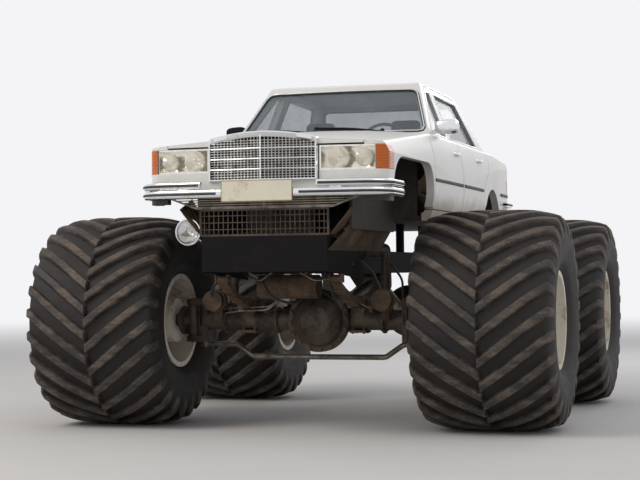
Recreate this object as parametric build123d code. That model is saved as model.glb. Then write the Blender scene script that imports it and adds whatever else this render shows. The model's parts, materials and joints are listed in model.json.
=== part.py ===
import os
from math import asin, cos, hypot, pi, sin, sqrt

from build123d import *

os.makedirs("parts", exist_ok=True)

# A saloon body carried high on a lorry's ladder frame, axles and four very wide low pressure tyres.
# Millimetres. The front faces -Y, +X is the vehicle's left and Z = 0 is the ground.
# While it is drawn, y runs back from the front bumper's face, and the body's heights
# count from the road it once stood on, which lies body_lift above the real ground.

# Driving sizes
body_length = 4960.0
body_lift = 1315.0
front_axle_y = 1105.0
rear_axle_y = 3754.0
axle_height = 801.5
tyre_radius = 801.5
tyre_width = 1035.0
wheel_centre_x = 1461.0

# Body panels: sides, walls and gaps
sill_height = 235.0
sill_half = 868.0
waist_height = 580.0
waist_half = 925.0
belt_height = 905.0
belt_half = 862.0
shoulder_round = 32.0
side_wall = 62.0
skin = 20.0
floor_thick = 38.0
panel_gap = 7.0
seat_gap = 0.3

# The body's section slides down from the cowl to the nose and from the deck to the tail
nose_y = 196.0
cowl_y = 1612.0
deck_y = 4085.0
tail_y = 4800.0
crown = 48.0
nose_drop = 182.0
tail_drop = 52.0
nose_half = 884.0
nose_bow = 52.0
tail_half = 880.0
tail_bow = 30.0
plan_bow = 44.0
corner_round = 95.0

# Greenhouse
pillar_base_y = 1863.0
pillar_base_height = 945.0
pillar_base_half = 794.0
pillar_top_y = 2229.0
pillar_top_height = 1330.0
pillar_top_half = 646.0
screen_bow = 88.0
rear_screen_base_y = 3985.0
rear_screen_top_y = 3530.0
rear_screen_bow = 70.0
roof_height = 1430.0
roof_bow_side = 62.0
roof_crown = 36.0
roof_round = 85.0
roof_thick = 34.0
pillar_wall = 52.0
screen_wall = 34.0
glass_thick = 6.0

# Doors: hinge line at the skin, shut line and window
hinge_half = 927.0
front_hinge_y = 1532.0
rear_hinge_y = 2582.0
door_sill = 322.0
door_top = 1352.0
window_sill = 938.0
window_head = 1308.0

# Wheel arches
front_arch_y = 925.0
front_arch_half = 565.0
front_arch_top = 664.0
inner_fender_x = 560.0
inner_fender_thick = 18.0
inner_fender_front = 375.0
inner_fender_low = 150.0
inner_fender_high = 700.0
rear_arch_y = 3865.0
rear_arch_radius = 423.0
rear_arch_height = 152.0

# Hood, boot lid, grille and lamps
hood_half = 722.0
trunk_y = 4100.0
lid_leaf_low = 912.0
lid_leaf_high = 925.0
trunk_half = 664.0
trunk_lip = 700.0
grille_half = 402.0
grille_low = 492.0
grille_high = 806.0
grille_face_y = 128.0
grille_apex_y = 92.0
grille_depth = 60.0
grille_rim = 30.0
grille_cap = 68.0
grille_arch = 60.0
grille_corner = 60.0
bar_thick = 9.0
lamp_inner = grille_half + panel_gap
lamp_outer = 812.0
lamp_low = 556.0
lamp_high = 728.0
lamp_depth = 150.0
lamp_rim = 12.0

# Bumpers
bumper_half = 924.0
bumper_bars = [(372.0, 430.0), (437.0, 486.0)]
bumper_notch = 420.0
bumper_thick = 66.0
bumper_return = 500.0
bumper_corner = 200.0
iron_inner = 520.0
iron_outer = 600.0
plate_half = 262.0
plate_low = 340.0
plate_high = 490.0
rubber_height = 22.0
rubber_start = 290.0
rubber_thick = 12.0
rubber_proud = 8.0
bumper_bow = 58.0
bumper_gap = 8.0

# Lower grille, guard and shield below the nose
lower_grille_top_half = 760.0
lower_grille_low_half = 505.0
lower_grille_top = 1708.0
lower_grille_low = 1612.0
lower_grille_y = 160.0
slat_thick = 8.0
guard_half = 478.0
guard_y = 150.0
guard_rod = 6.0
shield_low = 1168.0
shield_high = 1420.0
shield_thick = 12.0
shield_back_y = 1100.0

# Frame
rail_centre_x = 410.0
rail_width = 80.0
rail_low = 1150.0
rail_height = 170.0
rail_wall = 12.0
rail_back_y = 4620.0
cross_places = [235.0, 800.0, 1640.0, 2420.0, 3200.0, 4230.0, 4560.0]
member_width = 84.0
member_top = 120.0
tow_across = 120.0
tow_up = 55.0
tow_hole_radius = 7.5
tow_shaft_radius = 20.0
mount_places = [1640.0, 2420.0, 3200.0, 4560.0]

# Axles, springs and steering
tube_radius = 76.0
diff_x = 140.0
diff_radius = 235.0
diff_front = 225.0
diff_back = 205.0
flare_length = 235.0
spring_x = 430.0
spring_width = 76.0
spring_half_length = 620.0
spring_rise = 130.0
spring_drop = 24.0
leaf_thick = 13.0
leaf_count = 5
leaf_step = 0.17
kingpin_x = 900.0
kingpin_radius = 22.0
kingpin_clearance = 0.05
yoke_gap = 118.0
yoke_lug = 46.0
steer_arm = 250.0
rod_radius = 21.0
rod_drop = 96.0
rod_pin_radius = 14.0
spindle_radius = 46.0
bearing_clearance = 0.05

# Tyres: rows of (across, groove floor radius, bar radius) from the middle to the shoulder
bar_count = 22
bar_slant = 0.78
bar_crest = 46.0
bar_foot = 74.0
crest_rise = cos(bar_crest / 2 / tyre_radius)
tread_rows = [
    (0.0, 757.0, tyre_radius / crest_rise), (300.0, 752.0, 797.0), (478.0, 704.0, 750.0)
]
wall_radius = 590.0
bead_inset = 11.0

# Rims
rim_half = 457.0
flange_radius = 359.0
flange_thick = 14.0
barrel_radius = 331.0
rim_wall = 9.0
disc_offset = -100.0
hub_radius = 168.0


# Outlines: closed faces from corners of (u, v), (u, v, rounding) or (u, v, rounding, bow),
# anticlockwise; the bow swells the side that leaves the corner outwards by that much.
def outline(*corners):
    rows = [tuple(c) + (0.0,) * (4 - len(c)) for c in corners]
    edges = []
    for here, there in zip(rows, rows[1:] + rows[:1]):
        a, b = Vector(here[0], here[1]), Vector(there[0], there[1])
        if here[3]:
            along = (b - a).normalized()
            middle = (a + b) * 0.5 + Vector(along.Y, -along.X) * here[3]
            edges.append(Edge.make_three_point_arc(a, middle, b))
        else:
            edges.append(Edge.make_line(a, b))
    face = Face(Wire(edges))
    for u, v, rounding, _ in rows:
        if rounding:
            corner = min(face.vertices(), key=lambda p: hypot(p.X - u, p.Y - v))
            face = face.fillet_2d(rounding, [corner])
    return face


def facing_up(face):
    return face if face.normal_at().Z > 0 else -face


# The same outline drawn in by a wall, its arcs kept as arcs
def drawn_in(face, wall):
    edges = []
    for edge in offset(face, -wall, kind=Kind.INTERSECTION).faces()[0].outer_wire().edges():
        if edge.geom_type == GeomType.LINE:
            edges.append(Edge.make_line(edge @ 0, edge @ 1))
        else:
            edges.append(Edge.make_three_point_arc(edge @ 0, edge @ 0.5, edge @ 1))
    return Face(Wire(edges))


def along_x(face, x0, x1):
    return extrude(Plane.YZ.offset(x0) * facing_up(face), x1 - x0)


def along_y(face, y0, y1):
    return extrude(Plane.XZ.offset(-y1) * facing_up(face), y1 - y0)


def along_z(face, z0, z1):
    return extrude(Plane.XY.offset(z0) * facing_up(face), z1 - z0)


def block(x0, x1, y0, y1, z0, z1):
    return Pos((x0 + x1) / 2, (y0 + y1) / 2, (z0 + z1) / 2) * Box(x1 - x0, y1 - y0, z1 - z0)


def rod(start, end, radius):
    a, b = Vector(*start), Vector(*end)
    return extrude(Plane(a, z_dir=b - a) * Circle(radius), (b - a).length)


def tube_x(x0, x1, y, z, radius):
    return rod((x0, y, z), (x1, y, z), radius)


def both_sides(solid):
    return solid + mirror(solid, about=Plane.YZ)


def mirrored(solid):
    return mirror(solid, about=Plane.YZ)


# Lower body: side arc through sill, waist and belt
def arc_centre(p, q, r):
    (ax, ay), (bx, by), (cx, cy) = p, q, r
    d = 2 * (ax * (by - cy) + bx * (cy - ay) + cx * (ay - by))
    a2, b2, c2 = ax * ax + ay * ay, bx * bx + by * by, cx * cx + cy * cy
    u = (a2 * (by - cy) + b2 * (cy - ay) + c2 * (ay - by)) / d
    v = (a2 * (cx - bx) + b2 * (ax - cx) + c2 * (bx - ax)) / d
    return u, v, hypot(ax - u, ay - v)


side_u, side_v, side_radius = arc_centre(
    (sill_half, sill_height), (waist_half, waist_height), (belt_half, belt_height)
)


def side_x(height):
    return side_u + sqrt(side_radius**2 - (height - side_v) ** 2)


def section(inset):
    low_x, top_x = side_x(sill_height), side_x(belt_height)
    swell = waist_half - (low_x + top_x) / 2
    face = outline(
        (-low_x, sill_height),
        (low_x, sill_height, 0.0, swell),
        (top_x, belt_height, shoulder_round, crown),
        (-top_x, belt_height, shoulder_round, swell),
    )
    if inset:
        face = drawn_in(face, inset)
    return facing_up(face)


def plan_prism(inset):
    face = outline(
        (-nose_half, nose_y, corner_round, nose_bow),
        (nose_half, nose_y, corner_round, plan_bow),
        (tail_half, tail_y, corner_round, tail_bow),
        (-tail_half, tail_y, corner_round, plan_bow),
    )
    if inset:
        face = drawn_in(face, inset)
    return along_z(face, sill_height + inset, 1600.0)


def lower_body(inset):
    forward = Vector(0.0, -cowl_y, -nose_drop)
    backward = Vector(0.0, body_length - deck_y, -tail_drop)
    middle = along_y(section(inset), cowl_y, deck_y)
    nose = extrude(Plane.XZ.offset(-cowl_y) * section(inset), forward.length, dir=forward)
    tail = extrude(Plane.XZ.offset(-deck_y) * section(inset), backward.length, dir=backward)
    return (middle + nose + tail) & plan_prism(inset)


# Greenhouse: side section with a crowned roof, cut by the two slanted, bowed screens
pillar_slope = (pillar_base_half - pillar_top_half) / (pillar_top_height - pillar_base_height)
screen_slope = (pillar_top_y - pillar_base_y) / (pillar_top_height - pillar_base_height)
rear_slope = (rear_screen_base_y - rear_screen_top_y) / (pillar_top_height - pillar_base_height)
cab_low = 700.0


def cab_half(height):
    return pillar_base_half - pillar_slope * (height - pillar_base_height)


def greenhouse(wall, roof, screen):
    eave = roof_height - roof_crown
    low, high = cab_half(cab_low) - wall, cab_half(eave) - wall
    cross = along_y(
        outline(
            (-low, cab_low),
            (low, cab_low),
            (high, eave - roof, max(roof_round - wall, 8.0), roof_crown),
            (-high, eave - roof, max(roof_round - wall, 8.0)),
        ),
        pillar_base_y - 700.0,
        rear_screen_base_y + 700.0,
    )
    ends = (pillar_top_y - 500.0, rear_screen_top_y + 500.0)
    bow = roof_bow_side * ((ends[1] - ends[0]) / (rear_screen_top_y - pillar_top_y)) ** 2
    top = roof_height - roof - bow
    side = along_x(
        outline((ends[0], cab_low), (ends[1], cab_low), (ends[1], top, 0.0, bow), (ends[0], top)),
        -1000.0,
        1000.0,
    )
    lean_front = Vector(0, screen_slope, 1)
    lean_rear = Vector(0, -rear_slope, 1)
    front_y = pillar_base_y - screen_slope * (pillar_base_height - cab_low) + screen
    rear_y = rear_screen_base_y + rear_slope * (pillar_base_height - cab_low) - screen
    rise = 900.0
    half = pillar_base_half
    front_face = outline(
        (-half, front_y, 0.0, screen_bow), (half, front_y), (half * 1.5, front_y + 60.0),
        (half * 1.5, 5200.0), (-half * 1.5, 5200.0), (-half * 1.5, front_y + 60.0),
    )
    rear_face = outline(
        (half, rear_y, 0.0, rear_screen_bow), (-half, rear_y), (-half * 1.5, rear_y - 60.0),
        (-half * 1.5, 900.0), (half * 1.5, 900.0), (half * 1.5, rear_y - 60.0),
    )
    front = extrude(
        Plane.XY.offset(cab_low) * facing_up(front_face), rise * lean_front.length, dir=lean_front
    )
    rear = extrude(
        Plane.XY.offset(cab_low) * facing_up(rear_face), rise * lean_rear.length, dir=lean_rear
    )
    return cross & side & front & rear


# Each use draws its own copy of the body's outer and inner forms
def outer_body():
    return lower_body(0.0)


def cavity():
    return lower_body(side_wall) + block(-806.0, 806.0, 262.0, 4700.0, 200.0, 300.0)


def skin_layer():
    return outer_body() - lower_body(skin)


def wall_layer():
    return outer_body() - lower_body(side_wall)


cab_outer = greenhouse(0.0, 0.0, 0.0)
cab_inner = greenhouse(pillar_wall, roof_thick, screen_wall)
shell = (outer_body() + cab_outer) - (cavity() + cab_inner)

# Screens: openings seen from the front and the back
screen_sill = 950.0
screen_head = 1312.0
screen_low_half = 765.0
screen_top_half = 625.0
screen_outline = outline(
    (-screen_low_half, screen_sill, 50.0), (screen_low_half, screen_sill, 50.0),
    (screen_top_half, screen_head, 55.0), (-screen_top_half, screen_head, 55.0),
)
# Only as deep as the front pillars, so that the doors behind them stay whole
screen_reach = 40.0
screen_layer = along_x(
    outline(
        (pillar_base_y - 300.0, pillar_base_height), (pillar_base_y + screen_reach, pillar_base_height),
        (pillar_top_y + screen_reach, pillar_top_height), (pillar_top_y - 300.0, pillar_top_height),
    ),
    -1000.0,
    1000.0,
)
rear_screen_sill = 985.0
rear_screen_head = 1300.0
rear_screen_outline = outline(
    (-690.0, rear_screen_sill, 50.0), (690.0, rear_screen_sill, 50.0),
    (585.0, rear_screen_head, 55.0), (-585.0, rear_screen_head, 55.0),
)
screen_hole = along_y(screen_outline, 1500.0, 2500.0) & screen_layer
rear_screen_hole = along_y(rear_screen_outline, 3300.0, 4300.0)


def skin_x(height):
    return side_x(height) if height <= belt_height else cab_half(height)


# Door outlines run in (y, height); each corner is carried onto a surface of revolution
# about the hinge, so that the shut faces keep their gap while the door swings.
door_split = belt_height + 10.0
shut_inner = 775.0
frame_inner = 742.0
frame_front = pillar_base_y + 42.0
front_door_back = 2528.0
rear_door_back = 3400.0
rear_frame_base = 3785.0
rear_frame_top = 3470.0
doors = {
    "front": {
        "hinge": front_hinge_y,
        "lower": [
            (front_hinge_y, door_sill), (front_door_back, door_sill),
            (front_door_back, door_split), (front_hinge_y, door_split),
        ],
        "upper": [
            (frame_front, door_split - 30.0), (front_door_back, door_split - 30.0),
            (front_door_back, door_top + 14.0),
            (frame_front + screen_slope * (door_top - door_split) + 30.0, door_top),
        ],
        "window": [
            (frame_front + 66.0, window_sill), (front_door_back - 46.0, window_sill),
            (front_door_back - 46.0, window_head + 8.0),
            (frame_front + 66.0 + screen_slope * (window_head - window_sill), window_head),
        ],
    },
    "rear": {
        "hinge": rear_hinge_y,
        "lower": [
            (rear_hinge_y, door_sill), (rear_door_back, door_sill),
            (rear_door_back + 20.0, 430.0), (3520.0, 620.0), (3640.0, 700.0),
            (rear_frame_base - 40.0, 800.0), (rear_frame_base, door_split),
            (rear_hinge_y, door_split),
        ],
        "upper": [
            (rear_hinge_y, door_split - 30.0), (rear_frame_base, door_split - 30.0),
            (rear_frame_base - 12.0, door_split + 20.0),
            (rear_frame_top, door_top - 6.0), (rear_hinge_y, door_top + 14.0),
        ],
        "window": [
            (rear_hinge_y + 38.0, window_sill), (rear_frame_base - 75.0, window_sill),
            (rear_frame_top - 30.0, window_head - 4.0), (rear_hinge_y + 38.0, window_head + 8.0),
        ],
    },
}


def turned_outline(corners, hinge_y, grow):
    corners = [(hypot(y - hinge_y, hinge_half - skin_x(z)) * (y > hinge_y), z) for y, z in corners]
    face = outline(*corners)
    if grow:
        face = drawn_in(face, -grow)
    span = Pos(1500.0, 900.0) * Rectangle(3000.0, 1800.0)
    return (Sketch() + face) & span


def turned(corners, hinge_y, grow):
    sketch = Plane.XZ * turned_outline(corners, hinge_y, grow)
    return Pos(hinge_half, hinge_y, 0.0) * revolve(sketch, Axis.Z, 360.0)


def door_space(door, grow):
    reach = block(400.0, 1100.0, door["hinge"] - grow, 4400.0, 0.0, 1600.0)
    below = block(shut_inner - grow, 1100.0, 1000.0, 4400.0, 0.0, 1600.0)
    lower = turned(door["lower"], door["hinge"], grow) & below
    above = block(frame_inner - grow, 1100.0, 1000.0, 4400.0, 0.0, screen_sill + 10.0)
    above = above + block(400.0, 1100.0, 1000.0, 4400.0, screen_sill + 10.0, 1600.0)
    upper = turned(door["upper"], door["hinge"], grow) & above
    return (lower + upper) & reach


# The rear arch cuts the back of the rear door too
front_arch = along_x(
    outline(
        (front_arch_y - front_arch_half, 100.0), (front_arch_y + front_arch_half, 100.0),
        (front_arch_y + front_arch_half, front_arch_top, 190.0),
        (front_arch_y - front_arch_half, front_arch_top, 250.0),
    ),
    -1000.0,
    1000.0,
)
rear_arch = tube_x(-1000.0, 1000.0, rear_arch_y, rear_arch_height, rear_arch_radius)

lamp_hole = block(lamp_inner, lamp_outer, 0.0, 190.0 + lamp_depth, lamp_low, lamp_high)
indicator_hole = block(lamp_outer, 1000.0, 0.0, 375.0, lamp_low, lamp_high)
tail_lamp_inner = 505.0
tail_lamp_low = 560.0
tail_lamp_hole = block(tail_lamp_inner, 1000.0, 4640.0, 5000.0, tail_lamp_low, trunk_lip - panel_gap)

spaces = {place: door_space(door, panel_gap) for place, door in doors.items()}
leaves = {place: door_space(door, 0.0) for place, door in doors.items()}

# One side of the body shell at a time: the left one, which the right one mirrors
hood_space = block(-hood_half - panel_gap, hood_half + panel_gap, 0.0, cowl_y + panel_gap, lamp_high, 1100.0)
trunk_space = block(
    -trunk_half - panel_gap, trunk_half + panel_gap, trunk_y - panel_gap, 5000.0,
    trunk_lip - panel_gap, 1100.0,
)
low_front = block(-1000.0, 1000.0, 0.0, front_hinge_y - panel_gap, 0.0, 338.0)
frame_shell = shell - screen_hole - rear_screen_hole - hood_space - trunk_space - low_front
frame_shell = frame_shell - front_arch - rear_arch
left_shell = frame_shell & block(0.0, 1100.0, 0.0, body_length, 0.0, 1600.0)
left_shell = left_shell - spaces["front"] - spaces["rear"]
left_shell = left_shell - lamp_hole - indicator_hole - tail_lamp_hole

fender_back = front_hinge_y - panel_gap
nose_half_cut = hood_half + panel_gap
deck_cut = 690.0
roof_half = 600.0

fender_left = left_shell & block(nose_half_cut, 1100.0, 0.0, fender_back, 300.0, 1100.0)
cowl_left = left_shell & block(0.0, 1100.0, fender_back, 2050.0, 800.0, screen_sill)
frame_space = block(0.0, 1100.0, fender_back, body_length, 0.0, 1600.0)
frame_left = left_shell & frame_space
frame_left = frame_left - block(0.0, 1100.0, 0.0, 2050.0, 500.0, screen_sill)
frame_left = frame_left - block(0.0, roof_half, 0.0, body_length, screen_head, 1600.0)
frame_left = frame_left - block(0.0, deck_cut, 3600.0, 4400.0, 500.0, rear_screen_sill)
frame_left = frame_left - block(0.0, deck_cut - 26.0, 4400.0, 5000.0, 0.0, 1600.0)
nose_left = left_shell & block(0.0, nose_half_cut, 0.0, 190.0 + lamp_depth, lower_grille_top - body_lift, lamp_high)
nose_left = nose_left - block(0.0, lamp_inner, 0.0, 420.0, grille_low - seat_gap, 800.0)
deck_left = left_shell & block(0.0, deck_cut, 3600.0, 4400.0, 800.0, rear_screen_sill)
tail_left = left_shell & block(0.0, deck_cut - 26.0, 4400.0, 5000.0, 0.0, trunk_lip)
roof_left = left_shell & block(0.0, roof_half, 1800.0, 4200.0, screen_head, 1600.0)

# Hinge leaves that carry the doors, the hood and the boot lid
leaf_deep = 14.0
for height in (440.0, 640.0):
    leaf = block(872.0, 904.0, fender_back - leaf_deep, front_hinge_y - seat_gap, height, height + 60.0)
    fender_left = fender_left + leaf
    leaf = block(
        872.0, 904.0, rear_hinge_y - panel_gap - leaf_deep, rear_hinge_y - seat_gap, height, height + 60.0
    )
    frame_left = frame_left + leaf
cowl_left = cowl_left + block(
    550.0, 600.0, cowl_y + seat_gap, cowl_y + panel_gap + leaf_deep, lid_leaf_low, lid_leaf_high
)
deck_left = deck_left + block(
    550.0, 600.0, trunk_y - panel_gap - leaf_deep, trunk_y - seat_gap, lid_leaf_low, lid_leaf_high
)


def door(place):
    window = along_x(outline(*[(y, z, 22.0) for y, z in doors[place]["window"]]), 400.0, 1100.0)
    leaf = (frame_shell & leaves[place]) - window
    pane = (greenhouse(18.0, 0.0, 0.0) - greenhouse(18.0 + glass_thick, 0.0, 0.0)) & window
    return leaf, pane


# Everything drawn in the body's heights is lifted, the rest stands in real heights
def body_place(solid):
    return Pos(0.0, -body_length / 2, body_lift) * solid


def real_place(solid):
    return Pos(0.0, -body_length / 2, 0.0) * solid


pieces = {}


def keep(name, solid, place=body_place):
    pieces[name] = place(solid)


for place in doors:
    leaf, pane = door(place)
    keep(f"door_{place}_left", leaf)
    keep(f"door_{place}_right", mirrored(leaf))
    keep(f"glass_{place}_left", pane)
    keep(f"glass_{place}_right", mirrored(pane))

keep("roof", both_sides(roof_left))
keep("side_frame_left", frame_left)
keep("side_frame_right", mirrored(frame_left))
keep("front_fenders", both_sides(fender_left))
keep("cowl", both_sides(cowl_left))
keep("nose_panel", both_sides(nose_left))
keep("rear_panels", both_sides(deck_left) + both_sides(tail_left))

# Screens
screen_glass = (greenhouse(0.0, 0.0, 8.0) - greenhouse(0.0, 0.0, 8.0 + glass_thick)) & screen_hole
rear_glass = (greenhouse(0.0, 0.0, 8.0) - greenhouse(0.0, 0.0, 8.0 + glass_thick)) & rear_screen_hole
keep("screens", screen_glass + rear_glass)

# Floor, firewall, bulkhead and the inner arches over the rear axle
floor_top = sill_height + floor_thick
floor = block(-900.0, 900.0, fender_back + 30.0, 4740.0, sill_height, floor_top) & cavity()
firewall_half = shut_inner - 10.0
firewall = block(-firewall_half, firewall_half, fender_back + 30.0, fender_back + 62.0, floor_top, 1000.0) & cavity()
bulkhead = block(-700.0, 700.0, 3915.0, 3945.0, floor_top, 905.0) & cavity()
drum = tube_x(600.0, 900.0, rear_arch_y, rear_arch_height, rear_arch_radius + 24.0)
arch_room = both_sides(tube_x(624.0, 1000.0, rear_arch_y, rear_arch_height, rear_arch_radius))
drum = drum - arch_room
drum = (drum & cavity()) - block(0.0, 1000.0, 3000.0, 4700.0, 0.0, sill_height)
floor = (floor + firewall + bulkhead) - arch_room + both_sides(drum)
inner_fender = block(
    inner_fender_x, inner_fender_x + inner_fender_thick, inner_fender_front, fender_back + 40.0,
    inner_fender_low, inner_fender_high,
)
floor = floor + both_sides(inner_fender)
keep("floor_pan", floor)

# Grille: chromed shell, V shaped in plan under an arched top, over bars and slats
grille_back = grille_face_y + grille_depth


def grille_plan(inset, back):
    return outline(
        (0.0, grille_apex_y + inset), (grille_half - inset, grille_face_y + inset),
        (grille_half - inset, back), (-grille_half + inset, back),
        (-grille_half + inset, grille_face_y + inset),
    )


def grille_front(inset, cap):
    side, corner = grille_half - inset, max(grille_corner - inset, 5.0)
    top = grille_high - grille_arch - cap
    return along_y(
        outline(
            (-side, grille_low + inset), (side, grille_low + inset),
            (side, top, corner, grille_arch), (-side, top, corner),
        ),
        0.0,
        400.0,
    )


shell_block = along_z(grille_plan(0.0, grille_back), grille_low, grille_high) & grille_front(0.0, 0.0)
opening_block = grille_front(grille_rim, grille_cap)
grille_shell = shell_block - opening_block
clear_height = grille_high - grille_cap - grille_low - grille_rim
bar_steps = [grille_low + grille_rim + clear_height * step / 4 for step in (1, 2, 3)]
bar_slab = along_z(grille_plan(4.0, grille_back - 20.0), grille_low, grille_high)
bar_slab = bar_slab & opening_block
bars = block(-7.0, 7.0, 0.0, 400.0, grille_low, grille_high)
for height in bar_steps:
    bars = bars + block(-500.0, 500.0, 0.0, 400.0, height - bar_thick / 2, height + bar_thick / 2)
grille_shell = grille_shell + (bar_slab & bars)
mesh_slab = along_z(grille_plan(16.0, grille_back - 22.0), grille_low, grille_high)
mesh_slab = mesh_slab & opening_block
mesh_count = 11
mesh_pitch = clear_height / (mesh_count + 1)
mesh = block(-500.0, 500.0, grille_back - 28.0, grille_back - 22.0, grille_low, grille_high)
for step in range(1, mesh_count + 1):
    height = grille_low + grille_rim + step * mesh_pitch
    mesh = mesh + block(-500.0, 500.0, 0.0, 400.0, height - 2.0, height + 2.0)
mesh = (mesh_slab & mesh) - bars
keep("grille_shell", grille_shell)
keep("grille_insert", mesh)

# Hood and boot lid, skins on their own hinges
hood = skin_layer() & block(-hood_half, hood_half, 0.0, cowl_y, 740.0, 1100.0)
hood_notch = block(-hood_half, hood_half, 0.0, grille_back + panel_gap, 0.0, 1100.0)
hood = hood - (grille_front(-panel_gap, -panel_gap) & hood_notch)
trunk_lid = skin_layer() & block(-trunk_half, trunk_half, trunk_y, 5000.0, trunk_lip, 1100.0)
keep("hood", hood)
keep("trunk_lid", trunk_lid)

# Lamps
lens_thick = 12.0
set_back = Pos(0.0, lens_thick, 0.0) * outer_body()
lens = (outer_body() & lamp_hole) - set_back
bowl = (set_back & lamp_hole) - block(
    lamp_inner + lamp_rim, lamp_outer - lamp_rim, 0.0, 190.0 + lamp_depth - 30.0,
    lamp_low + lamp_rim, lamp_high - lamp_rim,
)
indicator = wall_layer() & indicator_hole
tail_lamp = wall_layer() & tail_lamp_hole
keep("headlamps", both_sides(bowl))
keep("lamp_lenses", both_sides(lens))
keep("indicators", both_sides(indicator))
keep("tail_lamps", both_sides(tail_lamp))


# Bumpers: a chromed bar bent round the corners, with a rubber strip and two irons
def bumper_plan(inset, back):
    face = outline(
        (-bumper_half, bumper_bow + rubber_proud, bumper_corner, bumper_bow),
        (bumper_half, bumper_bow + rubber_proud, bumper_corner),
        (bumper_half, back), (-bumper_half, back),
    )
    if inset:
        face = drawn_in(face, inset)
    return face


def bumper_ring(outside, inside, low, high):
    ring = along_z(bumper_plan(outside, bumper_return), low, high)
    return ring - along_z(bumper_plan(inside, bumper_return + 300.0), low - 1.0, high + 1.0)


bumper = None
rubber = None
rubber_gap = block(-rubber_start, rubber_start, -50.0, 200.0, 300.0, 500.0)
for low, high in bumper_bars:
    strip_low = (low + high - rubber_height) / 2
    strip_high = strip_low + rubber_height
    strip = bumper_ring(-rubber_proud, rubber_thick - rubber_proud, strip_low, strip_high)
    bar = bumper_ring(0.0, bumper_thick, low, high)
    bar = bar - bumper_ring(-rubber_proud, rubber_thick - rubber_proud, strip_low, strip_high)
    bumper = bar if bumper is None else bumper + bar
    rubber = strip if rubber is None else rubber + strip
# The upper bar leaves room for the grille, the blank plate stands over the lower bar
notch = block(-bumper_notch, bumper_notch, -50.0, 300.0, bumper_bars[0][1], 600.0)
plate = block(-plate_half, plate_half, 0.0, rubber_proud + rubber_thick, plate_low, plate_high)
bumper = (bumper - notch) + plate
rubber = rubber - rubber_gap - notch
inside_bumper = along_z(bumper_plan(bumper_thick, bumper_return + 300.0), 380.0, 480.0)
iron_block = block(iron_inner, iron_outer, 30.0, 300.0, 400.0, 460.0)
iron = (iron_block & inside_bumper) - outer_body()
turn_back = Pos(0.0, body_length, 0.0) * Rot(0.0, 0.0, 180.0)
around_body = plan_prism(-bumper_gap)
rear_irons = both_sides((turn_back * (iron_block & inside_bumper)) - outer_body())
keep("front_bumper", (bumper - around_body) + both_sides(iron))
keep("rear_bumper", (turn_back * bumper - around_body) + rear_irons)
keep("bumper_rubbers", (rubber - around_body) + (turn_back * rubber - around_body))

# Lower grille, wire guard and shield, hung one below the other under the nose
grille_fall = outline(
    (-lower_grille_low_half, lower_grille_low, 40.0), (lower_grille_low_half, lower_grille_low, 40.0),
    (lower_grille_top_half, lower_grille_top), (-lower_grille_top_half, lower_grille_top),
)
fall_plate = along_y(grille_fall, lower_grille_y, lower_grille_y + 18.0)
fall_hole = along_y(drawn_in(grille_fall, 12.0), 0.0, 400.0)
slat_count = 5
slat_pitch = (lower_grille_top - lower_grille_low) / (slat_count + 1)
slats = block(-6.0, 6.0, lower_grille_y, lower_grille_y + 18.0, lower_grille_low, lower_grille_top)
for step in range(1, slat_count + 1):
    height = lower_grille_low + step * slat_pitch
    slats = slats + block(
        -800.0, 800.0, lower_grille_y, lower_grille_y + 16.0,
        height - slat_thick / 2, height + slat_thick / 2,
    )
keep("lower_grille", (fall_plate - fall_hole) + (slats & fall_hole), real_place)

guard_frame = block(-guard_half, guard_half, guard_y, guard_y + 18.0, shield_high, lower_grille_low)
guard_frame = guard_frame - block(
    -guard_half + 14.0, guard_half - 14.0, 0.0, 400.0, shield_high + 14.0, lower_grille_low - 14.0
)
guard_count = 26
for step in range(1, guard_count + 1):
    across = -guard_half + step * 2 * guard_half / (guard_count + 1)
    guard_frame = guard_frame + block(
        across - guard_rod / 2, across + guard_rod / 2, guard_y + 4.0, guard_y + 4.0 + guard_rod,
        shield_high, lower_grille_low,
    )
for step in (1, 2, 3):
    height = shield_high + step * (lower_grille_low - shield_high) / 4
    guard_frame = guard_frame + block(
        -guard_half, guard_half, guard_y + 4.0, guard_y + 4.0 + guard_rod,
        height - guard_rod / 2, height + guard_rod / 2,
    )
keep("radiator_guard", guard_frame, real_place)

rail_outer_x = rail_centre_x + rail_width / 2
rail_inner_x = rail_centre_x - rail_width / 2
shield_front = block(
    -rail_outer_x - shield_thick, rail_outer_x + shield_thick,
    guard_y, guard_y + shield_thick, shield_low, shield_high,
)
shield_side = along_x(
    outline(
        (guard_y, shield_low), (shield_back_y, shield_low - 62.0),
        (shield_back_y, shield_high - 145.0), (370.0, shield_high - 20.0), (guard_y, shield_high),
    ),
    rail_outer_x,
    rail_outer_x + shield_thick,
)

# Spot lamp, on the right only, held by a stay from the shield's top corner
spot_x = -600.0
spot_height = 1457.0
spot_radius = 95.0
spot_y = 240.0
spot_bowl = revolve(
    Plane.XZ * outline(
        (0.0, 0.0), (spot_radius, 0.0), (spot_radius, 26.0), (spot_radius - 8.0, 34.0),
        (38.0, 118.0, 20.0), (0.0, 118.0),
    ),
    Axis.Z,
    360.0,
)
spot_bowl = spot_bowl - revolve(
    Plane.XZ * outline(
        (0.0, -5.0), (spot_radius - 9.0, -5.0), (spot_radius - 9.0, 22.0), (40.0, 98.0, 20.0), (0.0, 98.0)
    ),
    Axis.Z,
    360.0,
)
spot_turn = Pos(spot_x, spot_y, spot_height) * Rot(-90.0, 0.0, 0.0)
spot_stay = rod(
    (spot_x, spot_y + 100.0, spot_height), (-rail_outer_x - shield_thick, spot_y + 100.0, 1330.0), 12.0
)
shield = shield_front + both_sides(shield_side)
keep("front_shield", shield, real_place)
keep("spot_lamp", spot_turn * spot_bowl + (spot_stay - shield), real_place)

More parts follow.
